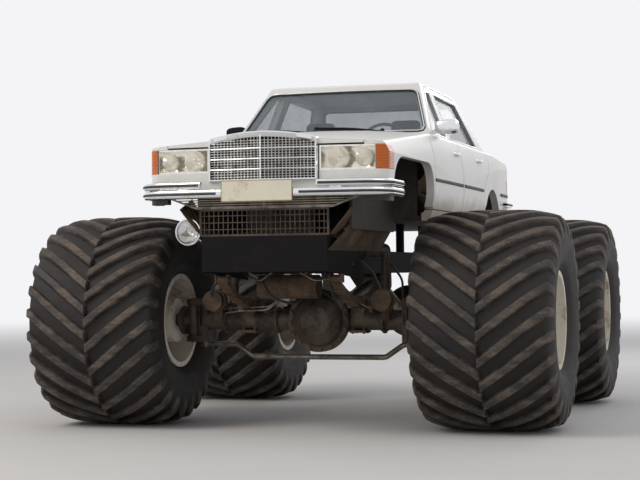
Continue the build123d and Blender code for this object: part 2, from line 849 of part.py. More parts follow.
# Ladder frame: two channels, cross members and the legs that carry the body
def rail(side):
    channel = outline(
        (0.0, 0.0), (rail_width, 0.0), (rail_width, rail_height), (0.0, rail_height),
        (0.0, rail_height - rail_wall), (rail_width - rail_wall, rail_height - rail_wall),
        (rail_width - rail_wall, rail_wall), (0.0, rail_wall),
    )
    solid = Pos(rail_inner_x, 0.0, rail_low) * along_y(channel, guard_y + shield_thick, rail_back_y)
    return solid if side > 0 else mirrored(solid)


rail_top = rail_low + rail_height
floor_underside = sill_height + body_lift
members = None
member_half = rail_outer_x - rail_wall
for y in cross_places:
    member = block(
        -member_half, member_half, y - member_width / 2, y + member_width / 2,
        rail_low + rail_wall, rail_low + member_top,
    )
    members = member if members is None else members + member
# The last member carries the tow hole pattern and the jaw's shaft
last_y = cross_places[-1]
tow_height = rail_low + rail_wall + 48.0
tow_holes = along_y(Pos(0.0, tow_height) * Circle(tow_shaft_radius).face(), last_y - 60.0, last_y + 60.0)
for x in (-tow_across / 2, tow_across / 2):
    for z in (-tow_up / 2, tow_up / 2):
        hole = Pos(x, tow_height + z) * Circle(tow_hole_radius).face()
        tow_holes = tow_holes + along_y(hole, last_y - 60.0, last_y + 60.0)
members = members - tow_holes
legs = None
for y in mount_places:
    leg = Pos(rail_centre_x, y, (rail_top + floor_underside) / 2) * Cylinder(
        34.0, floor_underside - rail_top
    )
    legs = both_sides(leg) if legs is None else legs + both_sides(leg)
keep("frame_rails", rail(1) + rail(-1), real_place)
keep("cross_members", members + legs, real_place)

# Engine as one block on two feet, gearbox and drop box behind it
engine_low = 1430.0
engine = block(-255.0, 255.0, 560.0, 1300.0, engine_low, 2010.0)
foot = block(240.0, rail_centre_x + 20.0, 830.0, 930.0, engine_low, engine_low + 40.0)
foot = foot + block(rail_centre_x - 25.0, rail_centre_x + 20.0, 830.0, 930.0, rail_top, engine_low + 40.0)
keep("engine", engine + both_sides(foot), real_place)
gearbox_y = 1940.0
gearbox = rod((0.0, 1300.0, 1400.0), (0.0, 1480.0, 1400.0), 138.0)
gearbox = gearbox + rod((0.0, 1480.0, 1400.0), (0.0, gearbox_y, 1400.0), 112.0)
gearbox = gearbox + block(-60.0, 60.0, 1600.0, 1680.0, rail_low + 120.0, 1330.0)
drop_front = 2420.0 + member_width / 2
drop_back = 2800.0
shaft_height = 1055.0
drop_box = along_y(
    outline((-110.0, 1230.0, 40.0), (60.0, 980.0, 60.0), (240.0, 980.0, 70.0), (230.0, 1400.0, 60.0),
            (-110.0, 1400.0, 60.0)),
    drop_front,
    drop_back,
)
keep("transmission", gearbox + drop_box, real_place)


# Propeller shafts from the drop box to the two axles, and the short one from the gearbox
def prop_shaft(start, end, radius):
    a, b = Vector(*start), Vector(*end)
    reach = (b - a).normalized()
    shaft = rod(a + reach * 90.0, b - reach * 90.0, radius)
    for tip, way in ((a, 1), (b, -1)):
        yoke = rod(tip + reach * (way * 12.0), tip + reach * (way * 110.0), radius * 0.8)
        flange = rod(tip, tip + reach * (way * 16.0), radius * 1.45)
        shaft = shaft + yoke + flange
    return shaft


front_nose = front_axle_y + diff_back
rear_nose = rear_axle_y - diff_back
front_shaft = prop_shaft((diff_x, drop_front + 12.0, shaft_height), (diff_x, front_nose - 12.0, axle_height), 46.0)
rear_shaft = prop_shaft((diff_x, drop_back - 12.0, shaft_height), (diff_x, rear_nose + 12.0, axle_height), 46.0)
mid_shaft = prop_shaft((0.0, gearbox_y - 4.0, 1400.0), (30.0, drop_front + 4.0, 1340.0), 34.0)


# Axle: tubes, swollen in the middle round the final drive, spring seats; turn 1 has the cover in front
def axle_beam(turn):
    profile = outline(
        (0.0, -diff_front), (105.0, -diff_front + 6.0, 30.0), (178.0, -168.0, 30.0), (196.0, -128.0),
        (diff_radius, -124.0), (diff_radius, -70.0), (205.0, -62.0, 20.0), (176.0, 60.0, 40.0),
        (118.0, 150.0, 30.0), (72.0, 178.0), (72.0, diff_back), (0.0, diff_back),
    )
    final_drive = Rot(-90.0, 0.0, 0.0) * revolve(Plane.XZ * profile, Axis.Z, 360.0)
    if turn < 0:
        final_drive = Rot(0.0, 0.0, 180.0) * final_drive
    beam = tube_x(-780.0, 780.0, 0.0, 0.0, tube_radius)
    for side in (1, -1):
        flare = Plane((diff_x, 0.0, 0.0), z_dir=(side, 0, 0)) * Circle(170.0)
        narrow = Plane((diff_x + side * flare_length, 0.0, 0.0), z_dir=(side, 0, 0)) * Circle(tube_radius)
        beam = beam + loft([flare.face(), narrow.face()])
    beam = beam + Pos(diff_x, 0.0, 0.0) * final_drive
    return beam


spring_top = rail_low - 34.0
clamp_top = spring_top - spring_drop - spring_rise
pack_low = clamp_top - leaf_count * leaf_thick


def spring_seats(y):
    seat = block(
        spring_x - 50.0, spring_x + 50.0, y - 75.0, y + 75.0, axle_height, pack_low - seat_gap
    ) - tube_x(-900.0, 900.0, y, axle_height, tube_radius - 1.0)
    return both_sides(seat)


def yoke(side):
    lug_plan = outline(
        (770.0, -52.0), (kingpin_x, -52.0, 0.0), (kingpin_x + 50.0, -30.0, 20.0),
        (kingpin_x + 50.0, 30.0, 20.0), (kingpin_x, 52.0), (770.0, 52.0),
    )
    lug = along_z(lug_plan, yoke_gap, yoke_gap + yoke_lug)
    lug = lug + Pos(0.0, 0.0, -2 * yoke_gap - yoke_lug) * lug
    web = block(765.0, 805.0, -62.0, 62.0, -yoke_gap - yoke_lug, yoke_gap + yoke_lug)
    ends = lug + web
    pin = Pos(kingpin_x, 0.0, 0.0) * Cylinder(kingpin_radius + kingpin_clearance, 600.0)
    ends = ends - pin
    return ends if side > 0 else mirrored(ends)


front_axle = Pos(0.0, front_axle_y, axle_height) * (axle_beam(1) + yoke(1) + yoke(-1)) + spring_seats(front_axle_y)
spindle_end = wheel_centre_x - 40.0
rear_spindle = tube_x(770.0, spindle_end, 0.0, 0.0, spindle_radius)
rear_spindle = rear_spindle + tube_x(780.0, 985.0, 0.0, 0.0, 96.0)
rear_axle = Pos(0.0, rear_axle_y, axle_height) * (axle_beam(-1) + both_sides(rear_spindle)) + spring_seats(rear_axle_y)
keep("front_axle", front_axle, real_place)
keep("rear_axle", rear_axle, real_place)
shafts = (front_shaft + mid_shaft) - drop_box - gearbox - front_axle
keep("prop_shafts", shafts + (rear_shaft - drop_box - rear_axle), real_place)


# Leaf springs: stacked arcs, the longest on top with an eye at each end, in hangers under the rails
def leaf_spring(y):
    radius = (spring_half_length**2 + spring_rise**2) / (2 * spring_rise)
    centre = clamp_top + radius
    pack = None
    for leaf in range(leaf_count):
        inside = radius + leaf * leaf_thick
        outside = inside + leaf_thick
        angle = asin(spring_half_length / radius) * (1 - leaf * leaf_step)
        corners = []
        for r, a in ((outside, -angle), (outside, angle), (inside, angle), (inside, -angle)):
            corners.append((r * sin(a), centre - r * cos(a)))
        bow = outside - outside * cos(angle), inside - inside * cos(angle)
        strip = outline(
            (*corners[0], 0.0, bow[0]), corners[1], (*corners[2], 0.0, -bow[1]), corners[3]
        )
        solid = along_x(strip, spring_x - spring_width / 2, spring_x + spring_width / 2)
        pack = solid if pack is None else pack + solid
    pack = Pos(0.0, y, 0.0) * pack
    for way in (-1, 1):
        eye_y = y + way * spring_half_length
        eye = tube_x(spring_x - spring_width / 2, spring_x + spring_width / 2, eye_y, spring_top, 29.0)
        pack = pack + eye
        pack = pack + tube_x(spring_x - 54.0, spring_x + 54.0, eye_y, spring_top, 11.0)
        for x in (spring_x - spring_width / 2 - 11.0, spring_x + spring_width / 2 + 1.0):
            cheek = block(x, x + 10.0, eye_y - 34.0, eye_y + 34.0, spring_top - 30.0, rail_low)
            pack = pack + cheek
    pack = pack + block(
        spring_x - 50.0, spring_x + 50.0, y - 60.0, y + 60.0, clamp_top - 10.0, clamp_top + 22.0
    )
    return pack


springs = both_sides(leaf_spring(front_axle_y)) + both_sides(leaf_spring(rear_axle_y))
keep("leaf_springs", springs, real_place)


# Dampers behind each axle, from a bracket on the tube to an arm on the rail
def damper(y, way):
    x = 600.0
    foot_y = y + way * 95.0
    bracket = block(x - 22.0, x + 22.0, min(y, foot_y + way * 20.0), max(y, foot_y + way * 20.0),
                    axle_height, axle_height + 105.0)
    bracket = bracket - tube_x(-900.0, 900.0, y, axle_height, tube_radius)
    body = rod((x, foot_y, axle_height + 100.0), (x, foot_y, 1130.0), 34.0)
    body = body + rod((x, foot_y, 1120.0), (x, foot_y, 1300.0), 27.0)
    arm = tube_x(rail_outer_x, x + 30.0, foot_y, 1290.0, 20.0)
    return bracket + body + arm


front_dampers = both_sides(damper(front_axle_y, 1))
rear_dampers = both_sides(damper(rear_axle_y, -1))
side_plate_room = block(rail_outer_x, rail_outer_x + shield_thick, 0.0, 1400.0, 1000.0, 1500.0)
keep("dampers", (front_dampers - both_sides(side_plate_room)) + rear_dampers, real_place)

# Air tank under the cross member ahead of the axle, brake chambers on the axles
tank_y = cross_places[1]
tank_radius = 88.0
tank_height = rail_low - tank_radius - 6.0
tank = tube_x(-250.0, 205.0, tank_y, tank_height, tank_radius)
for x in (-160.0, 110.0):
    tank = tank + block(x - 15.0, x + 15.0, tank_y - 20.0, tank_y + 20.0, tank_height, rail_low + rail_wall)


def brake_chamber(y, way):
    x = 655.0
    height = axle_height + 150.0
    can = rod((x, y - way * 250.0, height), (x, y - way * 110.0, height), 76.0)
    band = rod((x, y - way * 190.0, height), (x, y - way * 172.0, height), 86.0)
    arm = block(x - 30.0, x + 30.0, y - 115.0 * way if way > 0 else y, y if way > 0 else y + 115.0,
                axle_height, height + 20.0)
    arm = arm - tube_x(-900.0, 900.0, y, axle_height, tube_radius)
    return can + band + arm


chambers = both_sides(brake_chamber(front_axle_y, 1)) + both_sides(brake_chamber(rear_axle_y, -1))
keep("air_brakes", tank + chambers, real_place)

# Seats, dashboard and steering wheel


def seat(x0, x1, y0, back_y, low, back_top):
    profile = outline(
        (y0, low, 30.0), (back_y + 60.0, low, 20.0), (back_y + 190.0, back_top, 40.0),
        (back_y + 80.0, back_top, 40.0), (back_y - 40.0, low + 220.0, 30.0), (y0, low + 230.0, 50.0),
    )
    return along_x(profile, x0, x1)


front_seat = seat(115.0, 640.0, 2130.0, 2620.0, floor_top, 930.0)
head_rest = along_x(outline((2735.0, 960.0, 25.0), (2815.0, 960.0, 25.0), (2835.0, 1130.0, 30.0),
                            (2755.0, 1130.0, 30.0)), 250.0, 505.0)
rest_stay = block(360.0, 395.0, 2765.0, 2790.0, 925.0, 965.0)
rear_seat = seat(-590.0, 590.0, 3130.0, 3640.0, floor_top, 900.0)
keep("seats", both_sides(front_seat + head_rest + rest_stay) + rear_seat)

dash_back = fender_back + 62.0
dashboard = along_x(
    outline((dash_back, 560.0), (1790.0, 560.0, 40.0), (2010.0, 640.0, 40.0), (2030.0, 790.0, 50.0),
            (1900.0, 836.0, 40.0), (dash_back, 836.0)),
    -735.0,
    735.0,
)
wheel_x = 370.0
column_tilt = 68.0
column_length = 268.0
wheel_hub = (wheel_x, 2150.0, 850.0)
rim_ring = Torus(198.0, 13.0) + Cylinder(40.0, 30.0) + Box(390.0, 34.0, 12.0)
column = Pos(0.0, 0.0, -column_length / 2) * Cylinder(24.0, column_length)
steering = Pos(*wheel_hub) * Rot(-column_tilt, 0.0, 0.0) * (rim_ring + column)
keep("dashboard", dashboard + steering)


# Mirrors on the front doors
def mirror_left():
    x, y, z = 930.0, 1905.0, 985.0
    head = along_y(outline((0.0, -55.0, 25.0), (190.0, -50.0, 35.0), (185.0, 50.0, 35.0), (0.0, 58.0, 25.0)),
                   0.0, 62.0)
    stalk = rod((838.0, y + 62.0, 900.0), (x + 20.0, y + 34.0, z - 30.0), 14.0)
    return Pos(x, y, z) * head + stalk


door_mirror = mirror_left() - outer_body() - greenhouse(0.0, 0.0, 0.0)
keep("mirror_left", door_mirror)
keep("mirror_right", mirrored(door_mirror))


# Steered ends: knuckle with kingpin, spindle and an arm that runs straight back
def knuckle():
    pin = Cylinder(kingpin_radius, 2 * (yoke_gap + yoke_lug) + 8.0)
    barrel = Cylinder(46.0, 2 * yoke_gap - 2 * seat_gap)
    spindle = tube_x(20.0, spindle_end - kingpin_x, 0.0, 0.0, spindle_radius)
    flange = tube_x(62.0, 86.0, 0.0, 0.0, 108.0)
    arm = along_x(
        outline((0.0, -104.0), (90.0, -104.0, 40.0), (205.0, -172.0, 30.0),
                (steer_arm + 32.0, -172.0, 20.0), (steer_arm + 32.0, -132.0, 20.0),
                (215.0, -132.0, 30.0), (100.0, -48.0, 40.0), (0.0, -48.0)),
        -26.0,
        24.0,
    )
    pin_low = Pos(0.0, steer_arm, -172.0 - 25.0) * Cylinder(rod_pin_radius, 50.0)
    return pin + barrel + spindle + flange + arm + pin_low


def track_rod():
    eye_height = -172.0 - seat_gap - 22.0
    path = [
        (-kingpin_x, eye_height), (-640.0, eye_height), (-500.0, eye_height - rod_drop),
        (560.0, eye_height - rod_drop), (700.0, eye_height), (kingpin_x, eye_height),
    ]
    line = FilletPolyline(*[(x, 0.0, z) for x, z in path], radius=70.0)
    bar = sweep(Plane(line @ 0, z_dir=line % 0) * Circle(rod_radius), path=line)
    eyes = both_sides(Pos(kingpin_x, 0.0, eye_height) * Cylinder(34.0, 44.0))
    holes = both_sides(Pos(kingpin_x, 0.0, eye_height) * Cylinder(rod_pin_radius + kingpin_clearance, 60.0))
    return bar + eyes - holes


knuckle_left = Pos(kingpin_x, front_axle_y, axle_height) * knuckle()
keep("knuckle_left", knuckle_left, real_place)
keep("knuckle_right", mirrored(knuckle_left), real_place)
keep("tie_rod", Pos(0.0, front_axle_y + steer_arm, axle_height) * track_rod(), real_place)


# Wheels, drawn about their own axis: u runs outwards along the axle
def turned_wheel(face):
    return Rot(0.0, 90.0, 0.0) * revolve(Plane.XZ * face, Axis.Z, 360.0)


def ring(*corners):
    return turned_wheel(outline(*[(r, u, *rest) for u, r, *rest in reversed(corners)]))


# Tyre: each half is one run of flat faces over rings of points. A ring of the tread has four
# points a bar, foot, crest, crest and foot; a ring of the wall has one or two a bar.
def wheel_point(across, radius, angle):
    return Vector(across, radius * sin(angle), radius * cos(angle))


def tread_ring(across, offsets):
    turn = bar_slant * across / tyre_radius
    points = []
    for n in range(bar_count):
        middle = 2 * pi * n / bar_count + turn
        points.append([wheel_point(across, radius, middle + side / tyre_radius) for side, radius in offsets])
    return points


def facet(*points):
    return Face(Wire.make_polygon(points, close=True))


# Flat faces between two neighbouring rings; a point met twice leaves a triangle
def strip(a, b, c, d):
    if (a - b).length < 1e-6:
        return [facet(a, c, d)]
    if (c - d).length < 1e-6:
        return [facet(a, b, c)]
    return [facet(a, b, c), facet(a, c, d)]


def band(near, far, pairs):
    faces = []
    count = len(near)
    for n in range(count):
        here, there = near[n] + near[(n + 1) % count][:1], far[n] + far[(n + 1) % count][:1]
        for (a, b), (d, c) in pairs:
            faces += strip(here[a], here[b], there[c], there[d])
    return faces


def half_tyre():
    bead = rim_half - flange_thick - bead_inset
    low = (barrel_radius + seat_gap) / cos(pi / bar_count)
    crest, foot = bar_crest / 2, bar_foot / 2
    rings = []
    for across, floor_radius, bar_radius in tread_rows:
        row = [(-foot, floor_radius), (-crest, bar_radius), (crest, bar_radius), (foot, floor_radius)]
        # The middle ring also has the feet of the other half's bars, half a pitch on
        if not rings:
            half_pitch = pi * tyre_radius / bar_count
            row += [(half_pitch - foot, floor_radius), (half_pitch + foot, floor_radius)]
        rings.append(tread_ring(across, row))
    wall = tread_ring(tyre_width / 2, [(-foot, wall_radius), (foot, wall_radius)])
    inner = [[row[0]] for row in tread_ring(bead, [(0.0, low)])]
    well = [[Vector(0.0, row[0].Y, row[0].Z)] for row in inner]
    faces = []
    over_bar = [((n, n + 1), (n, n + 1)) for n in range(3)]
    faces += band(rings[0], rings[1], over_bar + [((3, 4), (3, 3)), ((4, 5), (3, 4)), ((5, 6), (4, 4))])
    for near, far in zip(rings[1:], rings[2:]):
        faces += band(near, far, over_bar + [((3, 4), (3, 4))])
    faces += band(rings[-1], wall, [((0, 1), (0, 0)), ((1, 2), (0, 1)), ((2, 3), (1, 1)), ((3, 4), (1, 2))])
    faces += band(wall, inner, [((0, 1), (0, 0)), ((1, 2), (0, 1))])
    faces += band(inner, well, [((0, 1), (0, 1))])
    rim_line = Wire.make_polygon([point for row in rings[0] for point in row], close=True)
    well_line = Wire.make_polygon([row[0] for row in well], close=True)
    faces.append(Face(rim_line, [well_line]))
    return Solid(Shell(faces))


def tyre():
    half = half_tyre()
    other = Rot(180.0 / bar_count, 0.0, 0.0) * mirrored(half_tyre())
    return half + other


def rim():
    inside = barrel_radius - rim_wall
    barrel = ring(
        (-rim_half, inside), (rim_half, inside), (rim_half, flange_radius),
        (rim_half - flange_thick, flange_radius), (rim_half - flange_thick, barrel_radius),
        (-rim_half + flange_thick, barrel_radius), (-rim_half + flange_thick, flange_radius),
        (-rim_half, flange_radius),
    )
    bore = spindle_radius + bearing_clearance
    deep = disc_offset
    hub_depth = spindle_end - wheel_centre_x + 6.0
    disc = ring(
        (deep - 60.0, inside + 2.0), (deep - 40.0, inside + 2.0), (deep + 18.0, 230.0), (deep + 18.0, 130.0),
        (hub_depth + 50.0, 110.0), (hub_depth + 70.0, 60.0), (hub_depth + 70.0, 0.0), (hub_depth, 0.0),
        (hub_depth, bore), (-rim_half + 30.0, bore), (-rim_half + 30.0, hub_radius),
        (deep, hub_radius), (deep, 230.0),
    )
    return barrel + disc


plain_tyre = tyre()
plain_rim = rim()
corners = {
    "front_left": (1, front_axle_y), "front_right": (-1, front_axle_y),
    "rear_left": (1, rear_axle_y), "rear_right": (-1, rear_axle_y),
}
for corner, (side, y) in corners.items():
    for name, solid in (("tyre", plain_tyre), ("rim", plain_rim)):
        placed = Pos(wheel_centre_x, y, axle_height) * solid
        keep(f"{name}_{corner}", placed if side > 0 else mirrored(placed), real_place)

for name, solid in pieces.items():
    export_step(solid, f"parts/{name}.step")
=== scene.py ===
import json
import math

import bmesh
import bpy
import numpy as np
from mathutils import Matrix


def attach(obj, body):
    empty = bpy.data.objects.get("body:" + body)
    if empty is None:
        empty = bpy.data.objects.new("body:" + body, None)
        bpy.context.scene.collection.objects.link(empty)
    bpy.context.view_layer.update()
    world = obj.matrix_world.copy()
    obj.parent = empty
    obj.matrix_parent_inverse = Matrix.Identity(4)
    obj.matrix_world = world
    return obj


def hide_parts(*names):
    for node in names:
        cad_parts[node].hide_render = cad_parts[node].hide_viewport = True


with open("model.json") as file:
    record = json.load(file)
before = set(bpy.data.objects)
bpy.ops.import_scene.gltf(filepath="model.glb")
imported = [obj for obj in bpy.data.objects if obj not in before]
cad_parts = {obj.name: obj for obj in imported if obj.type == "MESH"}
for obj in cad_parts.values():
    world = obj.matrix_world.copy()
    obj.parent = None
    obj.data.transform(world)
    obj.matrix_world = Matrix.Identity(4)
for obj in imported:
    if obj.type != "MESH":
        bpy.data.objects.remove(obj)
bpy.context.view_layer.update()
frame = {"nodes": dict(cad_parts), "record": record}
print("frame loaded")

# Places in metres: the body's own heights count from the road it once stood on
halfLength = 2.48
bodyLift = 1.315
axleHeight = 0.8015
frontAxleY = 1.105 - halfLength
rearAxleY = 3.754 - halfLength
wheelCentreX = 1.461
wheelTable = {
    "front_left": (1, frontAxleY), "front_right": (-1, frontAxleY),
    "rear_left": (1, rearAxleY), "rear_right": (-1, rearAxleY),
}


# Surfaces: every part is a pair of an array of points and a list of faces

def gridPart(points, closeRows=False, closeColumns=False):
    # a net of rows and columns of points, joined into four-sided faces
    rows, columns = points.shape[:2]
    r = np.arange(rows if closeRows else rows - 1)[:, None]
    c = np.arange(columns if closeColumns else columns - 1)[None, :]
    nextRow, nextColumn = (r + 1) % rows, (c + 1) % columns
    corners = [r * columns + c, r * columns + nextColumn, nextRow * columns + nextColumn, nextRow * columns + c]
    return points.reshape(-1, 3), np.stack(corners, -1).reshape(-1, 4).tolist()


def slabPart(outer, inner):
    # two nets of the same size joined all round into a thin closed sheet
    net = np.concatenate([outer, inner[:, ::-1]], 1)
    points, faces = gridPart(net, closeColumns=True)
    rows, columns = net.shape[:2]
    i = np.arange(columns // 2 - 1)
    cap = np.stack([i, i + 1, columns - 2 - i, columns - 1 - i], -1)
    return points, faces + cap.tolist() + (cap + (rows - 1) * columns).tolist()


def unit(rows):
    # each row of numbers, or a single one, brought to length 1
    rows = np.array(rows, float)
    return rows / np.linalg.norm(rows, axis=-1, keepdims=True)


def squareTo(axes):
    # the axes at length 1 with two directions that are square to each of them
    axes = unit(axes)
    helper = np.where(np.abs(axes[..., 2:]) < 0.9, (0.0, 0.0, 1.0), (0.0, 1.0, 0.0))
    side = unit(np.cross(axes, helper))
    return axes, side, np.cross(axes, side)


def lathe(profile, centre, axis, segments=48, closed=True):
    # the (radius, height) outline turned about the axis: centre + height * axis + radius * (cos, sin)
    axis, side, other = squareTo(axis)
    turn = np.linspace(0.0, 2 * np.pi, segments, endpoint=False)[:, None, None]
    profile = np.array(profile, float)
    radius, height = profile[None, :, 0, None], profile[None, :, 1, None]
    points = np.array(centre, float) + height * axis + radius * (np.cos(turn) * side + np.sin(turn) * other)
    return gridPart(points, closeRows=True, closeColumns=closed)


def sweep(path, outline, up=(0.0, 0.0, 1.0), closed=False):
    # the flat outline (across, lift) carried along the path, square to its direction
    path, outline = np.array(path, float), np.array(outline, float)
    way = unit(np.roll(path, -1, 0) - np.roll(path, 1, 0) if closed else np.gradient(path, axis=0))
    across = unit(np.cross(way, np.broadcast_to(up, path.shape)))
    lift = np.cross(across, way)
    points = path[:, None] + outline[None, :, :1] * across[:, None] + outline[None, :, 1:] * lift[:, None]
    made, faces = gridPart(points, closeRows=closed, closeColumns=True)
    if not closed:
        count = len(outline)
        faces = faces + [list(range(count)), list(range(len(made) - count, len(made)))]
    return made, faces


def circle(radius, count):
    # a round outline for sweep: radius * (cos, sin)
    turn = np.linspace(0.0, 2 * np.pi, count, endpoint=False)
    return np.stack([radius * np.cos(turn), radius * np.sin(turn)], -1)


def rounded(points, radius, steps):
    # a path through the points whose corners become curves of three control points
    points = np.array(points, float)
    before, after = unit(points[:-2] - points[1:-1]), unit(points[2:] - points[1:-1])
    t = np.linspace(0.0, 1.0, steps)[None, :, None]
    start, middle, end = points[1:-1] + radius * before, points[1:-1], points[1:-1] + radius * after
    bends = (1 - t) ** 2 * start[:, None] + 2 * t * (1 - t) * middle[:, None] + t**2 * end[:, None]
    return np.concatenate([points[:1], bends.reshape(-1, 3), points[-1:]])


def boxes(centres, sizes):
    # one box for each row of centres, with the row's size
    centres, sizes = np.array(centres, float), np.array(sizes, float)
    sizes = np.broadcast_to(sizes, centres.shape)
    cube = np.array([(x, y, z) for x in (-0.5, 0.5) for y in (-0.5, 0.5) for z in (-0.5, 0.5)])
    points = centres[:, None] + cube[None] * sizes[:, None]
    one = np.array([(0, 1, 3, 2), (4, 6, 7, 5), (0, 4, 5, 1), (2, 3, 7, 6), (0, 2, 6, 4), (1, 5, 7, 3)])
    faces = (one[None] + 8 * np.arange(len(centres))[:, None, None]).reshape(-1, 4)
    return points.reshape(-1, 3), faces.tolist()


def studs(centres, axes, radius, depth):
    # short six-sided prisms on their centres, sunk 2 mm and a little narrower at their ends, for nuts and bolt heads
    sides, sunk, narrowed = 6, 0.002, 0.94
    centres = np.array(centres, float)
    axes, side, other = squareTo(np.broadcast_to(axes, centres.shape))
    turn = np.linspace(0.0, 2 * np.pi, sides, endpoint=False)[None, :, None]
    flat = radius * (np.cos(turn) * side[:, None] + np.sin(turn) * other[:, None])
    low = centres[:, None] + flat - sunk * axes[:, None]
    high = centres[:, None] + flat * narrowed + depth * axes[:, None]
    points = np.concatenate([low, high], 1).reshape(-1, 3)
    first = np.arange(len(centres))[:, None] * 2 * sides
    s = np.arange(sides)[None]
    after = (s + 1) % sides
    walls = np.stack([first + s, first + after, first + sides + after, first + sides + s], -1).reshape(-1, 4)
    caps = np.concatenate([first + s, first + sides + s]).tolist()
    return points, walls.tolist() + caps


def ringOf(count, centre, axis, radius, start=0.0):
    # evenly spaced places on a circle about the axis
    axis, side, other = squareTo(axis)
    turn = start + np.linspace(0.0, 2 * np.pi, count, endpoint=False)[:, None]
    return np.array(centre, float) + radius * (np.cos(turn) * side + np.sin(turn) * other)


def mirrorX(part):
    # the part's mirror image, its faces turned round to point outwards
    points, faces = part
    return points * np.array([-1.0, 1.0, 1.0]), [list(face)[::-1] for face in faces]


def asMade(part):
    return part


def onBothSides(parts):
    return list(parts) + [mirrorX(part) for part in parts]


def squared(value, power):
    # keeps the sign and raises the size to the power, which squares off a circle's cos and sin
    return np.sign(value) * np.abs(value) ** power


def ballAngles(rows, columns):
    # u from pole to pole and v round them
    u = np.linspace(-np.pi / 2, np.pi / 2, rows)[:, None]
    return u, np.linspace(-np.pi, np.pi, columns, endpoint=False)[None, :]


def linked(name, data):
    made = bpy.data.objects.new(name, data)
    bpy.context.scene.collection.objects.link(made)
    return made


def addPiece(name, parts, finish, body, soften=0.0, crease=40.0):
    # one object of all the parts, shaded smooth up to the crease angle, on its body and in its material slot
    starts = np.cumsum([0] + [len(points) for points, faces in parts])
    points = np.concatenate([points for points, faces in parts])
    faces = [[int(i) + int(start) for i in face] for (_, held), start in zip(parts, starts) for face in held]
    mesh = bpy.data.meshes.new(name)
    mesh.from_pydata(points.tolist(), [], faces)
    net = bmesh.new()
    net.from_mesh(mesh)
    bmesh.ops.remove_doubles(net, verts=net.verts, dist=1e-6)
    bmesh.ops.recalc_face_normals(net, faces=net.faces)
    net.to_mesh(mesh)
    net.free()
    mesh.shade_smooth()
    mesh.set_sharp_from_angle(angle=math.radians(crease))
    piece = linked(name, mesh)
    mesh.materials.append(finish)
    if soften:
        edge = piece.modifiers.new("edge", "BEVEL")
        edge.width = soften
        edge.segments = 2
        edge.limit_method = "ANGLE"
    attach(piece, body)
    return piece


def addToDoors(name, end, parts, finish, crease=40.0):
    # the left door's piece and its mirror image on the right door
    for side, fit in (("left", asMade), ("right", mirrorX)):
        addPiece(f"{name}-{end}-{side}", [fit(part) for part in parts], finish, f"door_{end}_{side}",
                 crease=crease)


# Materials: sockets that take part in Python expressions

class Wire:
    def __init__(self, finish, socket):
        self.finish, self.socket = finish, socket

    def sums(self, kind, other, swapped=False):
        pair = (other, self) if swapped else (self, other)
        return self.finish.node("ShaderNodeMath", {"operation": kind}, {0: pair[0], 1: pair[1]})

    def __add__(self, other):
        return self.sums("ADD", other)

    def __radd__(self, other):
        return self.sums("ADD", other, True)

    def __sub__(self, other):
        return self.sums("SUBTRACT", other)

    def __rsub__(self, other):
        return self.sums("SUBTRACT", other, True)

    def __mul__(self, other):
        return self.sums("MULTIPLY", other)

    def __rmul__(self, other):
        return self.sums("MULTIPLY", other, True)


class Finish:
    def __init__(self, name, **fixed):
        self.material = bpy.data.materials.new(name)
        self.material.use_nodes = True
        self.tree = self.material.node_tree
        self.shader = self.tree.nodes["Principled BSDF"]
        self.set(**fixed)

    def feed(self, socket, value):
        if isinstance(value, Wire):
            self.tree.links.new(value.socket, socket)
        else:
            socket.default_value = value

    def set(self, **values):
        for name, value in values.items():
            self.feed(self.shader.inputs[name.replace("_", " ")], value)

    def node(self, kind, settings=None, inputs=None, out=0):
        made = self.tree.nodes.new(kind)
        for name, value in (settings or {}).items():
            setattr(made, name, value)
        for key, value in (inputs or {}).items():
            self.feed(made.inputs[key], value)
        return Wire(self, made.outputs[out])

    def place(self, stretch=(1.0, 1.0, 1.0)):
        where = self.node("ShaderNodeTexCoord", out="Object")
        return self.node("ShaderNodeMapping", {}, {"Vector": where, "Scale": stretch})

    def along(self, axis):
        # the surface point's place along X, Y or Z, where Z is its height above the ground
        where = self.node("ShaderNodeTexCoord", out="Object")
        return self.node("ShaderNodeSeparateXYZ", {}, {0: where}, out=axis)

    def noise(self, scale, detail=4.0, stretch=(1.0, 1.0, 1.0)):
        inputs = {"Vector": self.place(stretch), "Scale": scale, "Detail": detail, "Roughness": 0.55}
        return self.node("ShaderNodeTexNoise", {}, inputs)

    def bands(self, along, scale):
        # waves that follow one another along the named axis
        return self.node("ShaderNodeTexWave", {"bands_direction": along}, {"Vector": self.place(), "Scale": scale})

    def steps(self, value, low, high):
        # 0 below low, 1 above high, smooth between
        return self.node("ShaderNodeMapRange", {"interpolation_type": "SMOOTHSTEP"},
                         {"Value": value, "From Min": low, "From Max": high})

    def mixed(self, mask, first, second):
        ends = [(*c, 1.0) if isinstance(c, tuple) else c for c in (first, second)]
        return self.node("ShaderNodeMix", {"data_type": "RGBA"}, {0: mask, 6: ends[0], 7: ends[1]}, out=2)

    def bump(self, height, strength, distance):
        return self.node("ShaderNodeBump", {}, {"Height": height, "Strength": strength, "Distance": distance})


# Black parts of the painted sheets: near-black low on the nose, and painted shade on the narrow strips inside the
# rear doors' belt, near-black so they sink into the shade of the door opening; each limit: axis, value at which the
# black begins and value at which it is full
maskSizes = {
    "nose": [("Z", 1.708, 1.702), ("Y", -1.88, -1.90)], "noseColour": (0.022, 0.018, 0.015),
    # belt: painted shade, the strips inside the rear doors' belt turned near-black to sink into the shade of the door
    # opening
    "belt": [("Z", 2.170, 2.175), ("Z", 2.285, 2.280), ("Y", 0.10, 0.12), ("Y", 1.24, 1.22)],
    "beltSpan": (0.7745, 0.7725), "beltShadeColour": (0.015, 0.014, 0.014),
}


def within(finish, limits):
    # a mask: the product of one smooth step for each limit
    mask = 1.0
    for axis, begins, full in limits:
        mask = finish.steps(finish.along(axis), begins, full) * mask
    return mask


